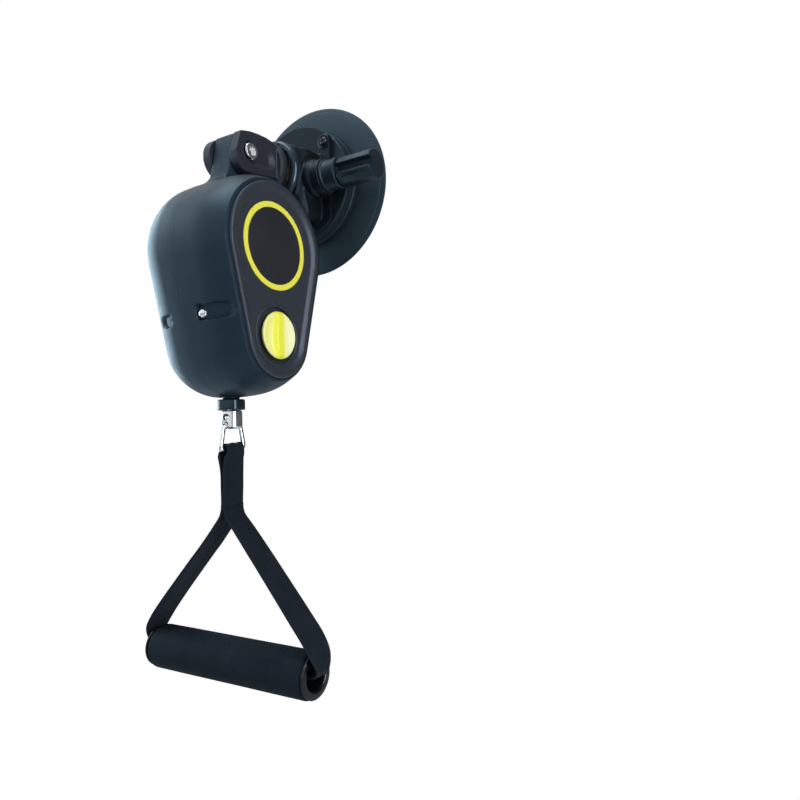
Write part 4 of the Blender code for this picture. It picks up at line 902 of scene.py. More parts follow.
def shell_half(name, side, stations, inner_stations, lip=()):
    """A half's skin: out along the stations, round the end, and back along the inner stations."""
    start = side * PARTING
    rings = []
    for x, inset in [(start, 0.00004), (start + side * 0.0001, 0.0), (start + side * 0.0004, 0.0)] + stations:
        rings.append([shell_point(x, *p) for p in body_outline(x, inset)])
    rings += [panel_ring(*level) for level in lip]
    inner = [placed(body_outline(x, SHELL_WALL), "X", x) for x in inner_stations]
    body = skin(name, inner[::-1] + rings)
    tools = [plain_rod("outlet_hole", OUTLET_HOLE, -0.2000, -0.1700, "Z", ROPE_PLACE, 64)]
    if side > 0:
        tools.append(plain_rod("knob_hole", KNOB_HOLE, 0.0380, 0.0460, "X", KNOB_PLACE, 48))
    return joined(name, [cut(body, *tools), half_lug(side)])


housing_plastic = moulded_material(
    "housing_plastic", dark=(0.0060, 0.0135, 0.0225), light=(0.0120, 0.0235, 0.0370), gloss=(0.36, 0.50),
    grain=2300.0, depth=0.00003, dust=0.35, specular=0.45, tint=COOL, flow=22.0,
)
near = [0.0010 + 0.0010 * i for i in range(12)] + [SCREW_SEAT - 0.0008 + 0.0002 * i for i in range(8)]
near += [0.0152 + 0.0010 * i for i in range(24)] + [0.0390 + 0.0008 * i for i in range(4)]
near += [0.0420, 0.0428, 0.0436, 0.0444, 0.0452, 0.0460, 0.0466]
stations = [(x, 0.0) for x in near]
inner = [0.0002, 0.0100, 0.0200, 0.0300, 0.0360, 0.0400, SHELL_FACE - SHELL_WALL]
lip = [(0.0026, 0.0474), (0.0020, 0.0474), (0.0019, 0.0470), (0.0019, SHELL_FACE)]
shell_near = shell_half("housing_near", 1, stations, inner, lip)
fit(shell_near, "housing", housing_plastic, "housing_plastic", "shell_near")

far = [-0.0010 - 0.0010 * i for i in range(14)] + [FAR_SEAT + 0.0006 - 0.0002 * i for i in range(8)]
far += [-0.0164 - 0.0008 * i for i in range(13)]
lean = math.asin((FAR_START + 0.0270) / FAR_ROUND)
far += [FAR_START - FAR_ROUND * math.sin(lean + (math.radians(84) - lean) * i / 26) for i in range(1, 27)]
stations = [(x, 0.0) for x in far]
end = FAR_START - FAR_ROUND * math.sin(math.radians(88))
stations += [(end - 0.00005, 0.0), (end - 0.0001, 0.0012)]
inner = [-0.0002, -0.0100, -0.0180, -0.0240, -0.0300, -0.0360, -0.0400, -0.0430]
shell_far = shell_half("housing_far", -1, stations, inner)
fit(shell_far, "housing", housing_plastic, "housing_plastic", "shell_far")

# Housing screws
# Two chromed screws draw the halves together, their heads sunk at the ends of the near troughs. A dark
# inlay sunk in each cross recess is painted shade.

for place, side in (("front", -1), ("rear", 1)):
    y = RING_Y + side * SCREW_INSET
    under = SCREW_SEAT + GAP
    crest = under + 0.0053
    outline = [(0.0, -0.0130), (SHANK, -0.0130), (SHANK, under), (0.0040, under), (0.0042, under + 0.0018)]
    outline += [(0.0040, under + 0.0032), (0.0033, under + 0.0044), (0.0022, crest), (0.0, crest + 0.0002)]
    screw = lathe(f"housing_pan_screw_{place}", outline, "X", (0, y, SCREW_Z), 64, 0.0006)
    cut(screw, *cross_recess(0.0016, 0.0012, 0.0028, (crest, y, SCREW_Z), "X", 1))
    # A dark steel inlay in the recess: painted shade for the shadow inside the cross.
    shade_inlay_place = (crest - 0.0007, y, SCREW_Z)
    bottom = joined("recess_shade_inlay", cross_recess(0.0006, 0.0011, 0.0020, shade_inlay_place, "X", 1))
    fit(bottom, "housing", black_steel, "plain_steel")
    fit(smoothed(screw), "housing", chrome, "chrome_steel", f"housing_screw_{place}")

# Side panel
# A charcoal cover pressed on the near half. A rounded lip follows its edge, the badge sits in a shallow
# round seat, and the dial turns in a dish with a stepped rim and two small marks beside it.

PANEL_FACE = 0.0491
PANEL_BACK = 0.0440
PANEL_FLOOR = 0.0467

levels = [(0.0016, PANEL_BACK)]
levels += [(0.0016, PANEL_FACE - 0.0014), (0.0014, PANEL_FACE - 0.0008), (0.0008, PANEL_FACE - 0.0002)]
levels += [(-0.0003, PANEL_FACE + 0.0001), (-0.0014, PANEL_FACE + 0.0001), (-0.0022, PANEL_FACE - 0.0001)]
levels += [(-0.0030, PANEL_FACE - 0.0006), (-0.0038, PANEL_FACE - 0.0011), (-0.0046, PANEL_FACE - 0.0016)]
levels += [(-0.0053, PANEL_FLOOR + 0.0003), (-0.0060, PANEL_FLOOR + 0.0001), (-0.0068, PANEL_FLOOR)]
panel = skin("dial_side_panel", [panel_ring(*level) for level in levels])
dish = [(0.0, PANEL_BACK + 0.0008), (0.0196, PANEL_BACK + 0.0008), (0.0204, PANEL_BACK + 0.0010)]
dish += [(0.0206, PANEL_FLOOR - 0.0002), (0.0212, PANEL_FLOOR + 0.0004), (0.0, PANEL_FLOOR + 0.0004)]
seat = [(0.0, PANEL_FLOOR - 0.0006), (0.0321, PANEL_FLOOR - 0.0006), (0.0322, PANEL_FLOOR - 0.0001)]
seat += [(0.0325, PANEL_FLOOR + 0.0002), (0.0, PANEL_FLOOR + 0.0002)]
cut(
    panel,
    lathe("dish", dish, "X", KNOB_PLACE, 128),
    lathe("badge_seat", seat, "X", BADGE_PLACE, 160),
    plain_rod("knob_hole", KNOB_HOLE, 0.0430, 0.0480, "X", KNOB_PLACE, 48),
)
rim = [(0.0207, PANEL_FLOOR - 0.0003), (0.0207, PANEL_FLOOR + 0.0004), (0.0214, PANEL_FLOOR + 0.0009)]
rim += [(0.0222, PANEL_FLOOR + 0.0006), (0.0227, PANEL_FLOOR - 0.0003)]
marks = []
for angle in (90, -6):
    tip = (RING_Y + 0.0246 * math.cos(math.radians(angle)), KNOB_Z + 0.0246 * math.sin(math.radians(angle)))
    wedge = arc(tip, 0.0012, angle + 180, angle + 420, 3)
    marks.append(slab("mark", wedge, PANEL_FLOOR - 0.0003, PANEL_FLOOR + 0.0003, "X"))
dish_rim = lathe("rim", rim, "X", KNOB_PLACE, 128, 0.0004)
panel = joined("dial_side_panel", [panel, dish_rim] + marks, 30)
panel_plastic = moulded_material(
    "panel_plastic", dark=(0.026, 0.030, 0.041), light=(0.040, 0.045, 0.059), gloss=(0.30, 0.42),
    grain=2100.0, depth=0.00002, dust=0.35, specular=0.45, tint=SOFT_COOL,
)
fit(panel, "housing", panel_plastic, "panel_plastic", "side_panel")

# Badge
# A yellow ring round a dark bare disc. The disc is left without any lettering or sign: it has only
# the fine turned rings of its mould.

BADGE_SEAT = PANEL_FLOOR - 0.0003
lemon_plastic = moulded_material(
    "lemon_plastic", dark=(0.86, 0.80, 0.075), light=(0.95, 0.90, 0.11), gloss=(0.24, 0.36), grain=1900.0,
    depth=0.00001, dust=0.08, specular=0.5, tint=PLAIN,
)
outline = [(0.0279, BADGE_SEAT), (0.0279, BADGE_SEAT + 0.0009), (0.0320, BADGE_SEAT + 0.0009)]
outline.append((0.0320, BADGE_SEAT))
badge_ring = lathe("badge_yellow_ring", outline, "X", BADGE_PLACE, 192, 0.0003)
fit(badge_ring, "housing", lemon_plastic, "yellow_plastic", "badge_ring")

disc_plastic = moulded_material(
    "badge_disc_plastic", dark=(0.014, 0.015, 0.020), light=(0.024, 0.026, 0.033), gloss=(0.30, 0.42),
    grain=2600.0, depth=0.00002, dust=0.25, specular=0.5, tint=PLAIN,
)
tree = disc_plastic.node_tree
split = new_node(tree, "ShaderNodeSeparateXYZ", {0: object_place(tree)}).outputs
squares = []
for axis, middle in (("Y", RING_Y), ("Z", RING_Z)):
    squares.append(math_node(tree, "POWER", math_node(tree, "ADD", split[axis], -middle), 2.0))
radius = math_node(tree, "SQRT", math_node(tree, "ADD", *squares))
turned_rings = math_node(tree, "SINE", math_node(tree, "MULTIPLY", radius, math.tau / 0.0009))
grain = next(node for node in tree.nodes if node.type == "BUMP").inputs["Height"]
grooved = math_node(tree, "MULTIPLY_ADD", turned_rings, 0.35, grain.links[0].from_socket)
tree.links.new(grooved, grain)
outline = [(0.0, BADGE_SEAT), (0.0276, BADGE_SEAT), (0.0276, BADGE_SEAT + 0.0006), (0.0, BADGE_SEAT + 0.0007)]
badge_disc = lathe("badge_bare_disc", outline, "X", BADGE_PLACE, 192, 0.0002)
fit(badge_disc, "housing", disc_plastic, "panel_plastic", "badge_disc")

# Dial
# A lemon disc with a finger bar across it. The bar's sides run down in hollow curves to a fine rim,
# and a steel screw behind it feeds the brake.

KNOB_BACK = PANEL_BACK + 0.0011
KNOB_FRONT = 0.0499
outline = [(0.0, KNOB_BACK + 0.0028), (KNOB_HOLE, KNOB_BACK + 0.0028), (KNOB_HOLE, KNOB_BACK)]
outline.append((0.0145, KNOB_BACK))
outline += [(0.0170, KNOB_FRONT - 0.0016), (0.0172, KNOB_FRONT - 0.0009), (0.0164, KNOB_FRONT)]
outline += [(0.0152, KNOB_FRONT - 0.0001), (0.0110, KNOB_FRONT - 0.0017)]
outline += [(0.0060, KNOB_FRONT - 0.0026), (0.0, KNOB_FRONT - 0.0028)]
rings = []
for x, half, reach in (
    (KNOB_FRONT - 0.0034, 0.0062, 0.0162),
    (KNOB_FRONT - 0.0020, 0.0052, 0.0162),
    (KNOB_FRONT - 0.0006, 0.0043, 0.0161),
    (KNOB_FRONT + 0.0005, 0.0037, 0.0159),
    (KNOB_FRONT + 0.0011, 0.0030, 0.0154),
):
    bar = arc((RING_Y, KNOB_Z + reach - half), half, 0, 180, 24)
    bar += arc((RING_Y, KNOB_Z - reach + half), half, 180, 360, 24)
    rings.append(placed(bar, "X", x))
solids = [lathe("knob_disc", outline, "X", KNOB_PLACE, 128), skin("bar", rings)]
knob = moulded("lemon_dial", solids, [], 0.00026, 5, 60)
dial_plastic = moulded_material(
    "dial_plastic", dark=(0.97, 0.95, 0.30), light=(1.0, 0.98, 0.36), gloss=(0.26, 0.36), grain=1900.0,
    depth=0.00001, dust=0.05, specular=0.6, tint=PLAIN,
)
# Painted light: a stripe of painted shade down the bar, and a painted highlight paling the right side.
tree = dial_plastic.node_tree
colour = tree.nodes["Principled BSDF"].inputs["Base Color"]
split = new_node(tree, "ShaderNodeSeparateXYZ", {0: object_place(tree)}).outputs
past_middle = math_node(tree, "ADD", split["Y"], -RING_Y)
painted_highlight_tone = toned(tree, ranged(tree, past_middle, 0.0040, 0.0110), colour.links[0].from_socket, (1.0, 1.0, 0.60))
from_middle = math_node(tree, "ABSOLUTE", math_node(tree, "ADD", past_middle, 0.0010))
painted_shade_stripe = toned(tree, ranged(tree, from_middle, 0.0034, 0.0052), (0.95, 0.95, 0.065), painted_highlight_tone)
tree.links.new(painted_shade_stripe, colour)
fit(knob, "knob", dial_plastic, "yellow_plastic", "knob")

# Drum and return spring
# The drum has two cheeks that keep the turns together. Behind it lies the spiral strip that winds the
# rope back, in its own case. Both keep the shape of the solids.

painted(black_plastic, "drum", "spring_case")
painted(plain_steel, "return_spring")

# Wound rope
# A 4.5 mm round braid in two layers, nine and a half turns in all. The last half turn leads off the
# drum's front side. The turns lie side by side between the cheeks.

ROPE_RADIUS = 0.00225
ROPE_BORE = 0.00255
STROKE = 1.5
LEAD_RADIUS = 0.02675
LAYERS = (0.0206, 0.0237)
TURN_SIDE = 0.0090
TURN_STEPS = 48
ROPE_FOOT = (RING_Y, -0.1758)


def ridges(tree, value):
    """Rounded ridges, one for each whole step of a value."""
    return math_node(tree, "ABSOLUTE", math_node(tree, "SINE", math_node(tree, "MULTIPLY", value, math.pi)))


def along_map(tree):
    """The UV map of a cord or band: the socket itself, the distance along it and the share across."""
    along = new_node(tree, "ShaderNodeUVMap", uv_map="along").outputs["UV"]
    axes = new_node(tree, "ShaderNodeSeparateXYZ", {0: along}).outputs
    return along, axes["X"], axes["Y"]


braid, given, made = new_group(
    "round_braid", {"Strand Length": 0.0052, "Strands": 8.0}, {"Height": FLOAT, "Shade": FLOAT}
)
along, distance, turn_share = along_map(braid)
length_share = math_node(braid, "DIVIDE", distance, given.outputs["Strand Length"])
round_share = math_node(braid, "MULTIPLY", turn_share, given.outputs["Strands"])
lanes = [math_node(braid, operation, round_share, length_share) for operation in ("ADD", "SUBTRACT")]
heights = [ridges(braid, lane) for lane in lanes]
cells = [math_node(braid, "FLOOR", lane) for lane in lanes]
over = math_node(braid, "FLOORED_MODULO", math_node(braid, "ADD", *cells), 2.0)
first = math_node(braid, "MULTIPLY", heights[0], over)
second = math_node(braid, "MULTIPLY", heights[1], math_node(braid, "SUBTRACT", 1.0, over))
strand = math_node(braid, "ADD", first, second)
fibres = noise(braid, along, 2600.0, 2.0, 0.6)
filled(braid, made, {"Height": math_node(braid, "MULTIPLY_ADD", fibres, 0.15, strand), "Shade": strand})

rope_braid, tree, shader = bare_material("rope_braid")
look = new_node(tree, "ShaderNodeGroup", node_tree=braid).outputs
colour = toned(tree, look["Shade"], (0.006, 0.007, 0.009), (0.030, 0.032, 0.036))
filled(tree, shader, {"Base Color": colour, "Roughness": 0.72, "Sheen Weight": 0.25})
bumped(tree, shader, look["Height"], 0.00025, 0.8)


def woven_skin(name, rows, distances, closed, crease):
    """A skin over rows of (points, shares across), with the distance and the share in its UV map."""
    bm = bmesh.new()
    layer = bm.loops.layers.uv.new("along")
    verts = [[bm.verts.new(point) for point in points] for points, shares in rows]
    for i in range(len(rows) if closed else len(rows) - 1):
        following = (i + 1) % len(rows)
        sides = len(verts[i])
        for k in range(sides):
            j = (k + 1) % sides
            face = bm.faces.new((verts[i][k], verts[i][j], verts[following][j], verts[following][k]))
            start, end = distances[i], distances[i + 1]
            here, there = rows[i][1], rows[following][1]
            marks = ((start, here[k]), (start, here[k + 1]), (end, there[k + 1]), (end, there[k]))
            for loop, mark in zip(face.loops, marks):
                loop[layer].uv = mark
    if not closed:
        bm.faces.new(verts[0])
        bm.faces.new(verts[-1])
    return as_object(name, bm, crease)


def tube_along(name, path, radius, sides=12, closed=False, marks=None):
    """A round tube along a path; its UV map holds the distance along it and the share round it."""
    path = [Vector(p) for p in path]
    count = len(path)
    if marks is None:
        marks = [0.0]
        for a, b in zip(path, path[1:] + path[:1]):
            marks.append(marks[-1] + (b - a).length)
    shares = [k / sides for k in range(sides + 1)]
    rows = []
    normal = None
    for i, point in enumerate(path):
        ahead = path[(i + 1) % count] if closed else path[min(i + 1, count - 1)]
        behind = path[i - 1] if closed else path[max(i - 1, 0)]
        tangent = (ahead - behind).normalized()
        normal = tangent.orthogonal() if normal is None else normal - tangent * normal.dot(tangent)
        normal.normalize()
        other = tangent.cross(normal)
        row = []
        for k in range(sides):
            angle = math.tau * k / sides
            row.append(point + (normal * math.cos(angle) + other * math.sin(angle)) * radius)
        rows.append((row, shares))
    return woven_skin(name, rows, marks, closed, 60)


def wound_path():
    """The rope's middle line on the drum, from its tie at the hub to where it leaves for the outlet."""
    swing = math.asin(LEAD_RADIUS / (RING_Z - ROPE_FOOT[1]))
    stages = [
        (0.5, LAYERS[0], LAYERS[0], -TURN_SIDE, -TURN_SIDE),
        (4.0, LAYERS[0], LAYERS[0], -TURN_SIDE, TURN_SIDE),
        (0.5, LAYERS[0], LAYERS[1], TURN_SIDE, TURN_SIDE),
        (4.0, LAYERS[1], LAYERS[1], TURN_SIDE, -TURN_SIDE),
        (0.5, LAYERS[1], LEAD_RADIUS, -TURN_SIDE, 0.0),
    ]
    angle = math.pi + swing - math.tau * sum(stage[0] for stage in stages)
    points = []
    for turns, radius_start, radius_end, x_start, x_end in stages:
        steps = round(turns * TURN_STEPS)
        for i in range(steps):
            share = i / steps
            soft = share * share * (3 - 2 * share)
            radius = radius_start + (radius_end - radius_start) * soft
            x = x_start + (x_end - x_start) * (soft if turns < 1 else share)
            points.append((x, RING_Y + radius * math.cos(angle), RING_Z + radius * math.sin(angle)))
            angle += math.tau / TURN_STEPS
    points.append((0.0, RING_Y + LEAD_RADIUS * math.cos(angle), RING_Z + LEAD_RADIUS * math.sin(angle)))
    return points


turns_path = wound_path()
wound_rope = tube_along("wound_rope_turns", turns_path, ROPE_RADIUS, 10)
fit(wound_rope, "drum", rope_braid, "rope_braid", "wound_rope")

# Rope run and rope lead
# The rope hangs from the drum's front side into the outlet. The short lead inside the outlet carries
# the rope's full stroke in the distance marks along it.

LEAD_TOP = -0.1792
LEAD_END = -0.1900
LEAD_RINGS = 150
BEND_BEFORE = 0.0060
BEND_AFTER = 0.0026


def run_path():
    """From the drum's side straight to the outlet, with a soft bend into the upright."""
    leave = Vector(turns_path[-1])
    corner = Vector((0.0, *ROPE_FOOT))
    slope = (corner - leave).normalized()
    bend_start = corner - slope * BEND_BEFORE
    bend_end = corner + Vector((0.0, 0.0, -BEND_AFTER))
    points = [leave.lerp(bend_start, i / 24) for i in range(24)]
    for i in range(9):
        share = i / 8
        points.append(bend_start.lerp(corner, share).lerp(corner.lerp(bend_end, share), share))
    points.append(Vector((0.0, RING_Y, LEAD_TOP + 0.0001)))
    return points


rope_run = tube_along("rope_to_outlet", run_path(), ROPE_RADIUS, 12)
fit(rope_run, "housing", rope_braid, "rope_braid", "rope_run")

lead_path = []
marks = []
for i in range(LEAD_RINGS + 1):
    weight = i / LEAD_RINGS
    share = 0.5 - math.sin(math.asin(1 - 2 * weight) / 3)
    lead_path.append((0.0, RING_Y, LEAD_TOP + (LEAD_END - LEAD_TOP) * share))
    marks.append(STROKE * weight)
lead_path.append((0.0, RING_Y, LEAD_END - 0.0010))
marks.append(STROKE + 0.0010)
rope_lead = tube_along("rope_lead_in_outlet", lead_path, ROPE_RADIUS, 12, marks=marks)
rope_lead.data.materials.append(rope_braid)
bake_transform(rope_lead)
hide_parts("rope_lead")

# Outlet bush
# A black bush pressed in the housing's lowest point. Its flange sits on the inside and its mouth is
# rounded so that the rope slides without wear.

outline = [(ROPE_BORE, -0.1886), (0.0058, -0.1886), (0.00635, -0.1880), (0.00635, -0.1830)]
outline += [(0.0085, -0.1830), (0.0085, -0.1802), (0.0073, -0.1790), (0.0056, -0.1790)]
outline += [(0.0038, -0.1802), (ROPE_BORE, -0.1824)]
outlet_bush = lathe("rope_outlet_bush", outline, "Z", ROPE_PLACE, 96, 0.0004)
fit(outlet_bush, "housing", black_plastic, "black_plastic", "outlet_bush")

# Stop collar and swivel pin
# A glossy collar clamped on the rope's end: it stops against the outlet and holds the head of the
# chrome pin on which the clip turns.

COLLAR_TOP = -0.1888
COLLAR_END = -0.1968
COLLAR_RADIUS = 0.0102
PIN_HOLE = 0.0033
outline = [(ROPE_BORE, COLLAR_TOP), (0.0095, COLLAR_TOP), (COLLAR_RADIUS, -0.1895)]
outline += [(COLLAR_RADIUS, -0.1962), (0.0097, COLLAR_END), (PIN_HOLE, COLLAR_END)]
outline += [(PIN_HOLE, -0.1946), (0.0051, -0.1946), (0.0051, -0.1914), (ROPE_BORE, -0.1914)]
stop_collar = lathe("rope_stop_collar", outline, "Z", ROPE_PLACE, 128, 0.0004)
fit(stop_collar, "carriage", collar_plastic, "black_plastic", "stop_collar")
painted(chrome, "swivel_pin")

# Swivel block
# A chromed round block that turns on the pin. Its lower end is drilled for the ring, and a shallow
# seat in its front holds a dark steel crescent, painted shade for the seat's shadowed side.

BLOCK_RADIUS = 0.0080
BLOCK_TOP = -0.1971
BLOCK_END = -0.2109
RING_TOP_Z = -0.2084
WIRE_RADIUS = 0.0020
outline = [(PIN_HOLE, BLOCK_TOP), (0.0070, BLOCK_TOP), (BLOCK_RADIUS, BLOCK_TOP - 0.0008)]
outline += [(BLOCK_RADIUS, BLOCK_END + 0.0014), (0.0063, BLOCK_END), (0.0, BLOCK_END)]
outline += [(0.0, -0.2001), (PIN_HOLE, -0.2001)]
solids = [lathe("block_round", outline, "Z", ROPE_PLACE, 96)]
EYE_RADIUS = WIRE_RADIUS + 0.0004
flare = [(EYE_RADIUS, 0.0054), (0.0030, 0.0063), (0.0037, 0.0070), (0.0044, 0.0084), (0.0044, 0.0100)]
eye = [(0.0, -0.0100)] + [(radius, -y) for radius, y in reversed(flare)] + flare + [(0.0, 0.0100)]
hollows = [lathe("ring_eye", eye, "Y", (0, RING_Y, RING_TOP_Z), 40)]
seat_turn = Matrix.Rotation(math.radians(15), 4, "Z")
seat_place = Matrix.Translation((0, RING_Y, -0.2024))
seat = [(0.0013, -0.0066), (0.0026, -0.0066), (0.0026, -0.0092), (0.0013, -0.0092)]
hollows.append(lathe("pin_seat", seat, "Y", WALL_PLACE, 48))
hollows[-1].data.transform(seat_place @ seat_turn)
swivel_block = moulded("clip_swivel_block", solids, hollows, 0.00022, 3, 60)
# A dark steel crescent in the seat: painted shade for the dark side of the hollow.
shade_crescent = arc((0.0, 0.0), 0.0025, 55, 215, 24) + arc((0.0, 0.0), 0.0014, 215, 55, 24)
seat_shade_piece = slab("seat_shade_crescent", shade_crescent, -0.0072, -0.0081, "Y")
seat_shade_piece.data.transform(seat_place @ seat_turn)
fit(seat_shade_piece, "swivel", black_steel, "plain_steel")
fit(swivel_block, "swivel", chrome, "chrome_steel", "swivel_block")

# Clip ring
# A chromed wire bent to a trapezoid: the narrow top hangs in the block's eye and the wide bar below
# carries the strap.

RING_BAR_Z = -0.2257
BAR_SLOPE = 0.06
BAR_HALF = 0.0119
TOP_HALF = 0.0084
WIRE_STEP = 0.0008
corners = [(TOP_HALF, RING_TOP_Z), (-TOP_HALF, RING_TOP_Z)]
corners += [(y, RING_BAR_Z + y * BAR_SLOPE) for y in (-BAR_HALF, BAR_HALF)]
ring_line = softened([(RING_Y + y, z) for y, z in corners], 0.0024, 10)
spots = []
for (y, z), (y_next, z_next) in zip(ring_line, ring_line[1:] + ring_line[:1]):
    steps = max(1, round(math.hypot(y_next - y, z_next - z) / WIRE_STEP))
    spots += [(0.0, y + (y_next - y) * i / steps, z + (z_next - z) * i / steps) for i in range(steps)]
clip_ring = tube_along("clip_wire_ring", spots, WIRE_RADIUS, 24, closed=True)
fit(clip_ring, "ring", chrome, "chrome_steel", "clip_ring")

# Webbing strap
# One closed band of flat woven webbing: over the ring's bar, sewn into a doubled neck, then spread to
# the grip's ends and through its tube. Its weave is in the material; the stitches are real thread.

GRIP_SHIFT = -0.0035
GRIP_Z = -0.3820
GRIP_END = 0.0785
STRAP_THICK = 0.0018
SPLIT_Z = -0.2705
STRAP_LEAN = -0.0010
STRAP_WIDE = 0.0125
SEAM_HALF = 0.0103
LOOP_HALF = 0.0086
MOUTH_HALF = 0.0058
PLY = STRAP_THICK / 2 + GAP / 2
BAR_SLACK = 0.0006
SEAM_DROPS = (0.0421, 0.0438)
BAND_STEP = 0.0012
SELVEDGE = 0.0007
EDGE_SHARE = 0.35
RIPPLE = 0.00022
RIPPLE_TURN = 7.0
GATHER_REACH = 0.004
SLOPE_REACH = 0.020

webbing_look, given, made = new_group(
    "flat_webbing",
    {"Rib Pitch": 0.0011, "Pick Pitch": 0.0013, "Fuzz Scale": 900.0},
    {"Height": FLOAT, "Shade": FLOAT, "Wear": FLOAT},
)
tree = webbing_look
along, distance, side_share = along_map(tree)
pick = math_node(tree, "DIVIDE", distance, given.outputs["Pick Pitch"])
rib = math_node(tree, "DIVIDE", side_share, given.outputs["Rib Pitch"])
shifted = math_node(tree, "MULTIPLY_ADD", math_node(tree, "FLOOR", rib), 0.5, pick)
rib_height = math_node(tree, "POWER", ridges(tree, rib), 0.6)
weave = math_node(tree, "MULTIPLY", rib_height, ridges(tree, shifted))
yarn = noise(tree, along, given.outputs["Fuzz Scale"], 3.0, 0.65)
wear = noise(tree, along, 70.0, 3.0, 0.55)
height = math_node(tree, "MULTIPLY_ADD", yarn, 0.35, weave)
filled(tree, made, {"Height": height, "Shade": weave, "Wear": wear})

webbing, tree, shader = bare_material("black_webbing")
look = new_node(tree, "ShaderNodeGroup", node_tree=webbing_look).outputs
# Painted shade darkens the hollows of the weave, and real wear lightens it in patches.
weave_shade_and_wear = math_node(tree, "MULTIPLY_ADD", look["Shade"], 0.7, ranged(tree, look["Wear"], 0.3, 0.7, 0.0, 0.3))
values = {
    "Base Color": toned(tree, weave_shade_and_wear, (0.0040, 0.0055, 0.0085), (0.0170, 0.0215, 0.0300)),
    "Roughness": 0.78,
    "Specular IOR Level": 0.20,
    "Specular Tint": (*COOL, 1.0),
    "Sheen Weight": 0.06,
    "Sheen Roughness": 0.4,
    "Sheen Tint": (0.55, 0.75, 1.0, 1.0),
}
filled(tree, shader, values)
bumped(tree, shader, look["Height"], 0.00007, 0.5)


def lean_at(z):
    """How far the doubled neck stands out of the rope's line at height z."""
    return STRAP_LEAN * (RING_BAR_Z - z) / (RING_BAR_Z - SPLIT_Z)


def strap_side(side):
    """Half of the band's middle line as (x, z, half width), from inside the grip to the ring's bar."""
    far = 0.0010 if side < 0 else 0.0
    leg = [
        (GRIP_END - 0.0385, 0.0, MOUTH_HALF),
        (GRIP_END - 0.0085, 0.0002, MOUTH_HALF),
        (GRIP_END, 0.0006, MOUTH_HALF),
        (GRIP_END + 0.0037 + far, 0.0022, MOUTH_HALF + 0.0004),
        (GRIP_END + 0.0053 + far, 0.0052, MOUTH_HALF + 0.0013),
        (GRIP_END + 0.0053 + far, 0.0105, MOUTH_HALF + 0.0034),
        (GRIP_END + 0.0033 + far, 0.0160, MOUTH_HALF + 0.0054),
    ]
    points = [(GRIP_SHIFT + side * x, GRIP_Z + rise, half) for x, rise, half in leg]
    turn = Vector((GRIP_SHIFT + side * (GRIP_END - 0.0020), GRIP_Z + 0.0250))
    split = Vector((STRAP_LEAN + side * 0.0027, SPLIT_Z - 0.0045))
    points.append((*turn, STRAP_WIDE - 0.0003))
    for share, bow, sag, narrow in (
        (0.17, 0.0005, 0.0000, 0.0002),
        (0.36, 0.0006, 0.0006, 0.0005),
        (0.56, 0.0006, 0.0014, 0.0008),
        (0.74, 0.0004, 0.0021, 0.0011),
        (0.90, 0.0001, 0.0014, 0.0016),
        (1.00, 0.0000, 0.0000, 0.0022),
    ):
        place = turn.lerp(split, share)
        shift = bow if side > 0 else bow - sag
        points.append((place.x + side * shift, place.y, STRAP_WIDE - narrow))
    fat = 1.0 if side < 0 else 0.0
    for x, drop, half in (
        (PLY + 0.0006, 0.0468, SEAM_HALF),
        (PLY, 0.0448, SEAM_HALF),
        (PLY, 0.0270, SEAM_HALF),
        (PLY + 0.0003 * fat, 0.0180, SEAM_HALF),
        (PLY + 0.0003 + 0.0011 * fat, 0.0120, SEAM_HALF - 0.0001),
        (0.0016 + 0.0021 * fat, 0.0078, SEAM_HALF - 0.0003),
        (0.0026 + 0.0020 * fat, 0.0046, SEAM_HALF - 0.0006),
        (0.0037 + 0.0009 * fat, 0.0020, LOOP_HALF),
    ):
        z = RING_BAR_Z - drop
        points.append((side * x + lean_at(z), z, half))
    return points


def smooth_line(points, reach):
    """A curve through the points of a closed line, with a step of about reach."""
    count = len(points)
    result = []
    for i in range(count):
        before, start, end, after = (Vector(points[(i + k) % count]) for k in (-1, 0, 1, 2))
        span = (end - start).length
        scale_before = span / max((start - before).length, 1e-6)
        scale_after = span / max((after - end).length, 1e-6)
        slope_start = (end - start + (start - before) * scale_before) / 2
        slope_end = (end - start + (after - end) * scale_after) / 2
        steps = max(2, round(span / reach))
        for k in range(steps):
            t = k / steps
            spot = start * (2 * t**3 - 3 * t**2 + 1) + slope_start * (t**3 - 2 * t**2 + t)
            result.append(spot + end * (3 * t**2 - 2 * t**3) + slope_end * (t**3 - t**2))
    return result


band = [(GRIP_SHIFT, GRIP_Z, MOUTH_HALF)] + strap_side(1)
over_bar = arc((0.0, RING_BAR_Z), WIRE_RADIUS + BAR_SLACK + STRAP_THICK / 2, 0, 180, 11)
band += [(x, z, LOOP_HALF) for x, z in over_bar]
band += list(reversed(strap_side(-1)))
line = smooth_line(band, BAND_STEP)


def band_section(half, gather):
    """Points round the band's section as (across, out, UV): rounded selvedges, ripples where gathered."""
    points = []
    steps = 22
    for face in (1, -1):
        for i in range(steps + 1):
            share = i / steps
            across = half * (1 - 2 * share) * face
            edge = min(1.0, (half - abs(across)) / SELVEDGE)
            out = STRAP_THICK / 2 * (EDGE_SHARE + (1 - EDGE_SHARE) * math.sqrt(1 - (1 - edge) ** 2)) * face
            ripple = gather * RIPPLE * math.cos(across / half * RIPPLE_TURN)
            points.append((across, out + ripple, across / half * STRAP_WIDE))
    return points


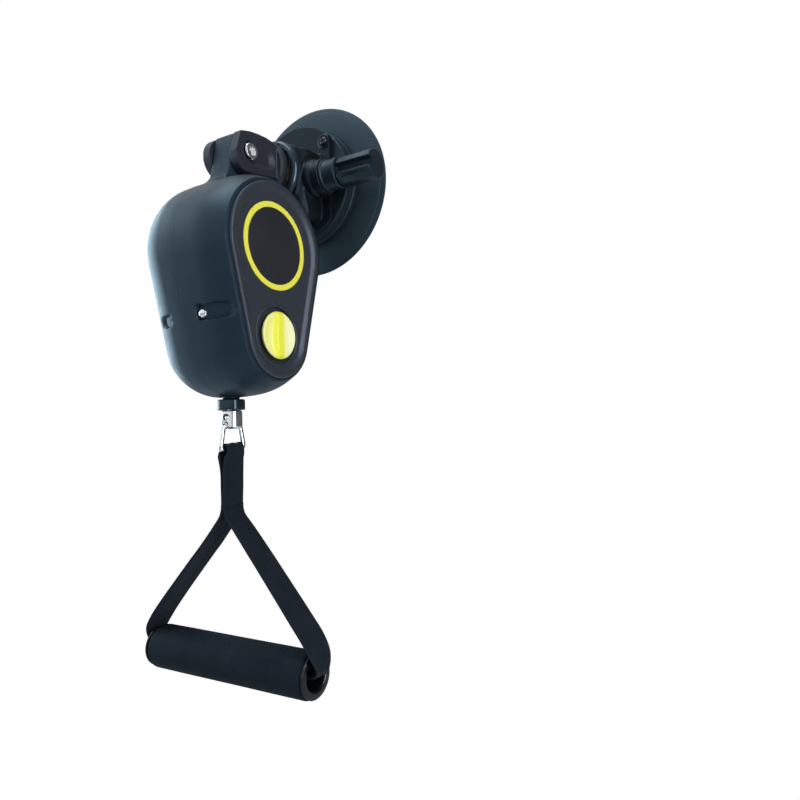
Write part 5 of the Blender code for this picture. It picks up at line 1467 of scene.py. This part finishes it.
rows = []
distances = [0.0]
for i, spot in enumerate(line):
    ahead = line[(i + 1) % len(line)]
    behind = line[i - 1]
    tangent = Vector((ahead.x - behind.x, ahead.y - behind.y)).normalized()
    out = Vector((tangent.y, -tangent.x))
    gather = max(0.0, min(1.0, (STRAP_WIDE - spot.z) / GATHER_REACH))
    slope = BAR_SLOPE * max(0.0, min(1.0, 1 - (RING_BAR_Z - spot.y) / SLOPE_REACH))
    points = []
    shares = []
    for across, lift, share in band_section(spot.z, gather):
        points.append((spot.x + out.x * lift, RING_Y + across, spot.y + out.y * lift + slope * across))
        shares.append(share)
    rows.append((points, shares + shares[:1]))
    distances.append(distances[-1] + Vector((ahead.x - spot.x, ahead.y - spot.y)).length)
strap = woven_skin("webbing_band", rows, distances, True, 50)

stitching = bpy.data.node_groups.new("stitch_rows", "GeometryNodeTree")
stitching.interface.new_socket("Geometry", in_out="INPUT", socket_type="NodeSocketGeometry")
for label, value in (("Pitch", 0.0026), ("Stitch Length", 0.0021), ("Thread Radius", 0.00026)):
    socket = stitching.interface.new_socket(label, in_out="INPUT", socket_type="NodeSocketFloat")
    socket.default_value = value
stitching.interface.new_socket("Thread", in_out="INPUT", socket_type="NodeSocketMaterial")
stitching.interface.new_socket("Geometry", in_out="OUTPUT", socket_type="NodeSocketGeometry")
given = stitching.nodes.new("NodeGroupInput").outputs
curve = new_node(stitching, "GeometryNodeMeshToCurve", {"Mesh": given["Geometry"]}).outputs["Curve"]
values = {"Curve": curve, "Length": given["Pitch"]}
evened = new_node(stitching, "GeometryNodeResampleCurve", values, mode="LENGTH").outputs["Curve"]
tangent = new_node(stitching, "GeometryNodeInputTangent").outputs["Tangent"]
turned = new_node(stitching, "FunctionNodeAlignRotationToVector", {"Vector": tangent}, axis="X")
bead = new_node(stitching, "GeometryNodeMeshUVSphere", {"Segments": 10, "Rings": 7, "Radius": 1.0})
half_length = math_node(stitching, "MULTIPLY", given["Stitch Length"], 0.5)
radius = given["Thread Radius"]
shape = new_node(stitching, "ShaderNodeCombineXYZ", {"X": half_length, "Y": radius, "Z": radius})
values = {"Points": evened, "Rotation": turned.outputs["Rotation"]}
values.update({"Instance": bead.outputs["Mesh"], "Scale": shape.outputs[0]})
sewn = new_node(stitching, "GeometryNodeInstanceOnPoints", values).outputs["Instances"]
real = new_node(stitching, "GeometryNodeRealizeInstances", {"Geometry": sewn}).outputs["Geometry"]
dressed = new_node(stitching, "GeometryNodeSetMaterial", {"Geometry": real, "Material": given["Thread"]})
new_node(stitching, "NodeGroupOutput", {"Geometry": dressed.outputs["Geometry"]})

thread = moulded_material(
    "bonded_thread", dark=(0.004, 0.005, 0.008), light=(0.012, 0.014, 0.018), gloss=(0.42, 0.60),
    grain=5200.0, depth=0.00004, dust=0.0, specular=0.3, tint=COOL, flow=900.0,
)
seam_lines = bpy.data.meshes.new("seam_lines")
spots = []
edges = []
for side in (1, -1):
    for drop in SEAM_DROPS:
        z = RING_BAR_Z - drop
        x = lean_at(z) + side * (PLY + STRAP_THICK / 2 + 0.00002)
        edges.append((len(spots), len(spots) + 1))
        spots += [(x, RING_Y - SEAM_HALF + 0.0012, z), (x, RING_Y + SEAM_HALF - 0.0012, z)]
seam_lines.from_pydata(spots, edges, [])
stitches = linked("seam_stitches", seam_lines)
sewing = stitches.modifiers.new("stitch_rows", "NODES")
sewing.node_group = stitching
for item in stitching.interface.items_tree:
    if item.in_out == "INPUT" and item.name == "Thread":
        sewing[item.identifier] = thread
    elif item.in_out == "INPUT" and item.name == "Pitch":
        sewing[item.identifier] = 0.0027
baked(stitches)
stitches.data.shade_smooth()
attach(stitches, "strap")
fit(strap, "strap", webbing, "webbing", "webbing_strap")

# Grip
# A tube of black plastic in a sleeve of closed-cell foam. The foam's ends are rounded over the glossy
# end caps, which are hollow so that the strap can run through the whole grip.

GRIP_RADIUS = 0.0164
grip_centre = (GRIP_SHIFT, RING_Y, GRIP_Z)
foam_skin, tree, shader = bare_material("closed_cell_foam")
where = object_place(tree)
cells = new_node(tree, "ShaderNodeTexVoronoi", {"Vector": where, "Scale": 1900.0}).outputs["Distance"]
lumps = noise(tree, where, 260.0, 3.0, 0.6)
patches = ranged(tree, noise(tree, where, 45.0, 3.0, 0.5), 0.3, 0.7)
height = math_node(tree, "MULTIPLY_ADD", lumps, 0.8, ranged(tree, cells, 0.0, 0.45))
values = {
    "Base Color": toned(tree, patches, (0.0060, 0.0095, 0.0140), (0.0105, 0.0150, 0.0210)),
    "Roughness": 0.82,
    "Specular IOR Level": 0.16,
    "Specular Tint": (*COOL, 1.0),
}
filled(tree, shader, values)
bumped(tree, shader, height, 0.00007)

FOAM_END = GRIP_END - 0.0018
FOAM_BORE = 0.0125
FOAM_ROUND = 0.0024
outline = [(FOAM_BORE, -FOAM_END - 0.0008), (GRIP_RADIUS - FOAM_ROUND, -FOAM_END - 0.0008)]
for share, grow in ((-1.0, 0.0003), (-0.6, 0.0003), (-0.2, 0.0002), (0.2, 0.0001), (0.6, 0.0001), (1.0, 0.0)):
    outline.append((GRIP_RADIUS + grow, share * (FOAM_END - FOAM_ROUND)))
outline += [(GRIP_RADIUS - FOAM_ROUND, FOAM_END), (FOAM_BORE, FOAM_END)]
rounded = softened(outline, 0.0022, 8)
foam = lathe("foam_sleeve", rounded, "X", grip_centre, 96)
fit(foam, "grip", foam_skin, "foam", "foam_grip")
painted(black_plastic, "grip_tube")

cap_plastic = moulded_material(
    "cap_plastic", dark=(0.0035, 0.0045, 0.0065), light=(0.0075, 0.0085, 0.0110), gloss=(0.14, 0.26),
    grain=2400.0, depth=0.00001, dust=0.2, specular=0.40, tint=PLAIN,
)
CAP_BORE = 0.0098
CAP_SPIGOT = 0.0107
CAP_DEPTH = 0.0140
for side, label in ((1, "right"), (-1, "left")):
    end = GRIP_END if side > 0 else GRIP_END + 0.0010
    inner_end = side * (GRIP_END - CAP_DEPTH)
    back = side * (end - 0.0017)
    face = side * (end + 0.0003)
    outline = [(CAP_BORE, inner_end), (CAP_SPIGOT, inner_end), (CAP_SPIGOT, back), (0.0152, back)]
    outline += [(0.0158, back + side * 0.0009), (0.0150, face - side * 0.0003), (0.0134, face)]
    outline += [(0.0112, face), (0.0102, face - side * 0.0006), (CAP_BORE, face - side * 0.0020)]
    cap = lathe(f"hollow_cap_{label}", outline, "X", grip_centre, 96, 0.0005)
    fit(cap, "grip", cap_plastic, "black_plastic", f"grip_end_{label}")
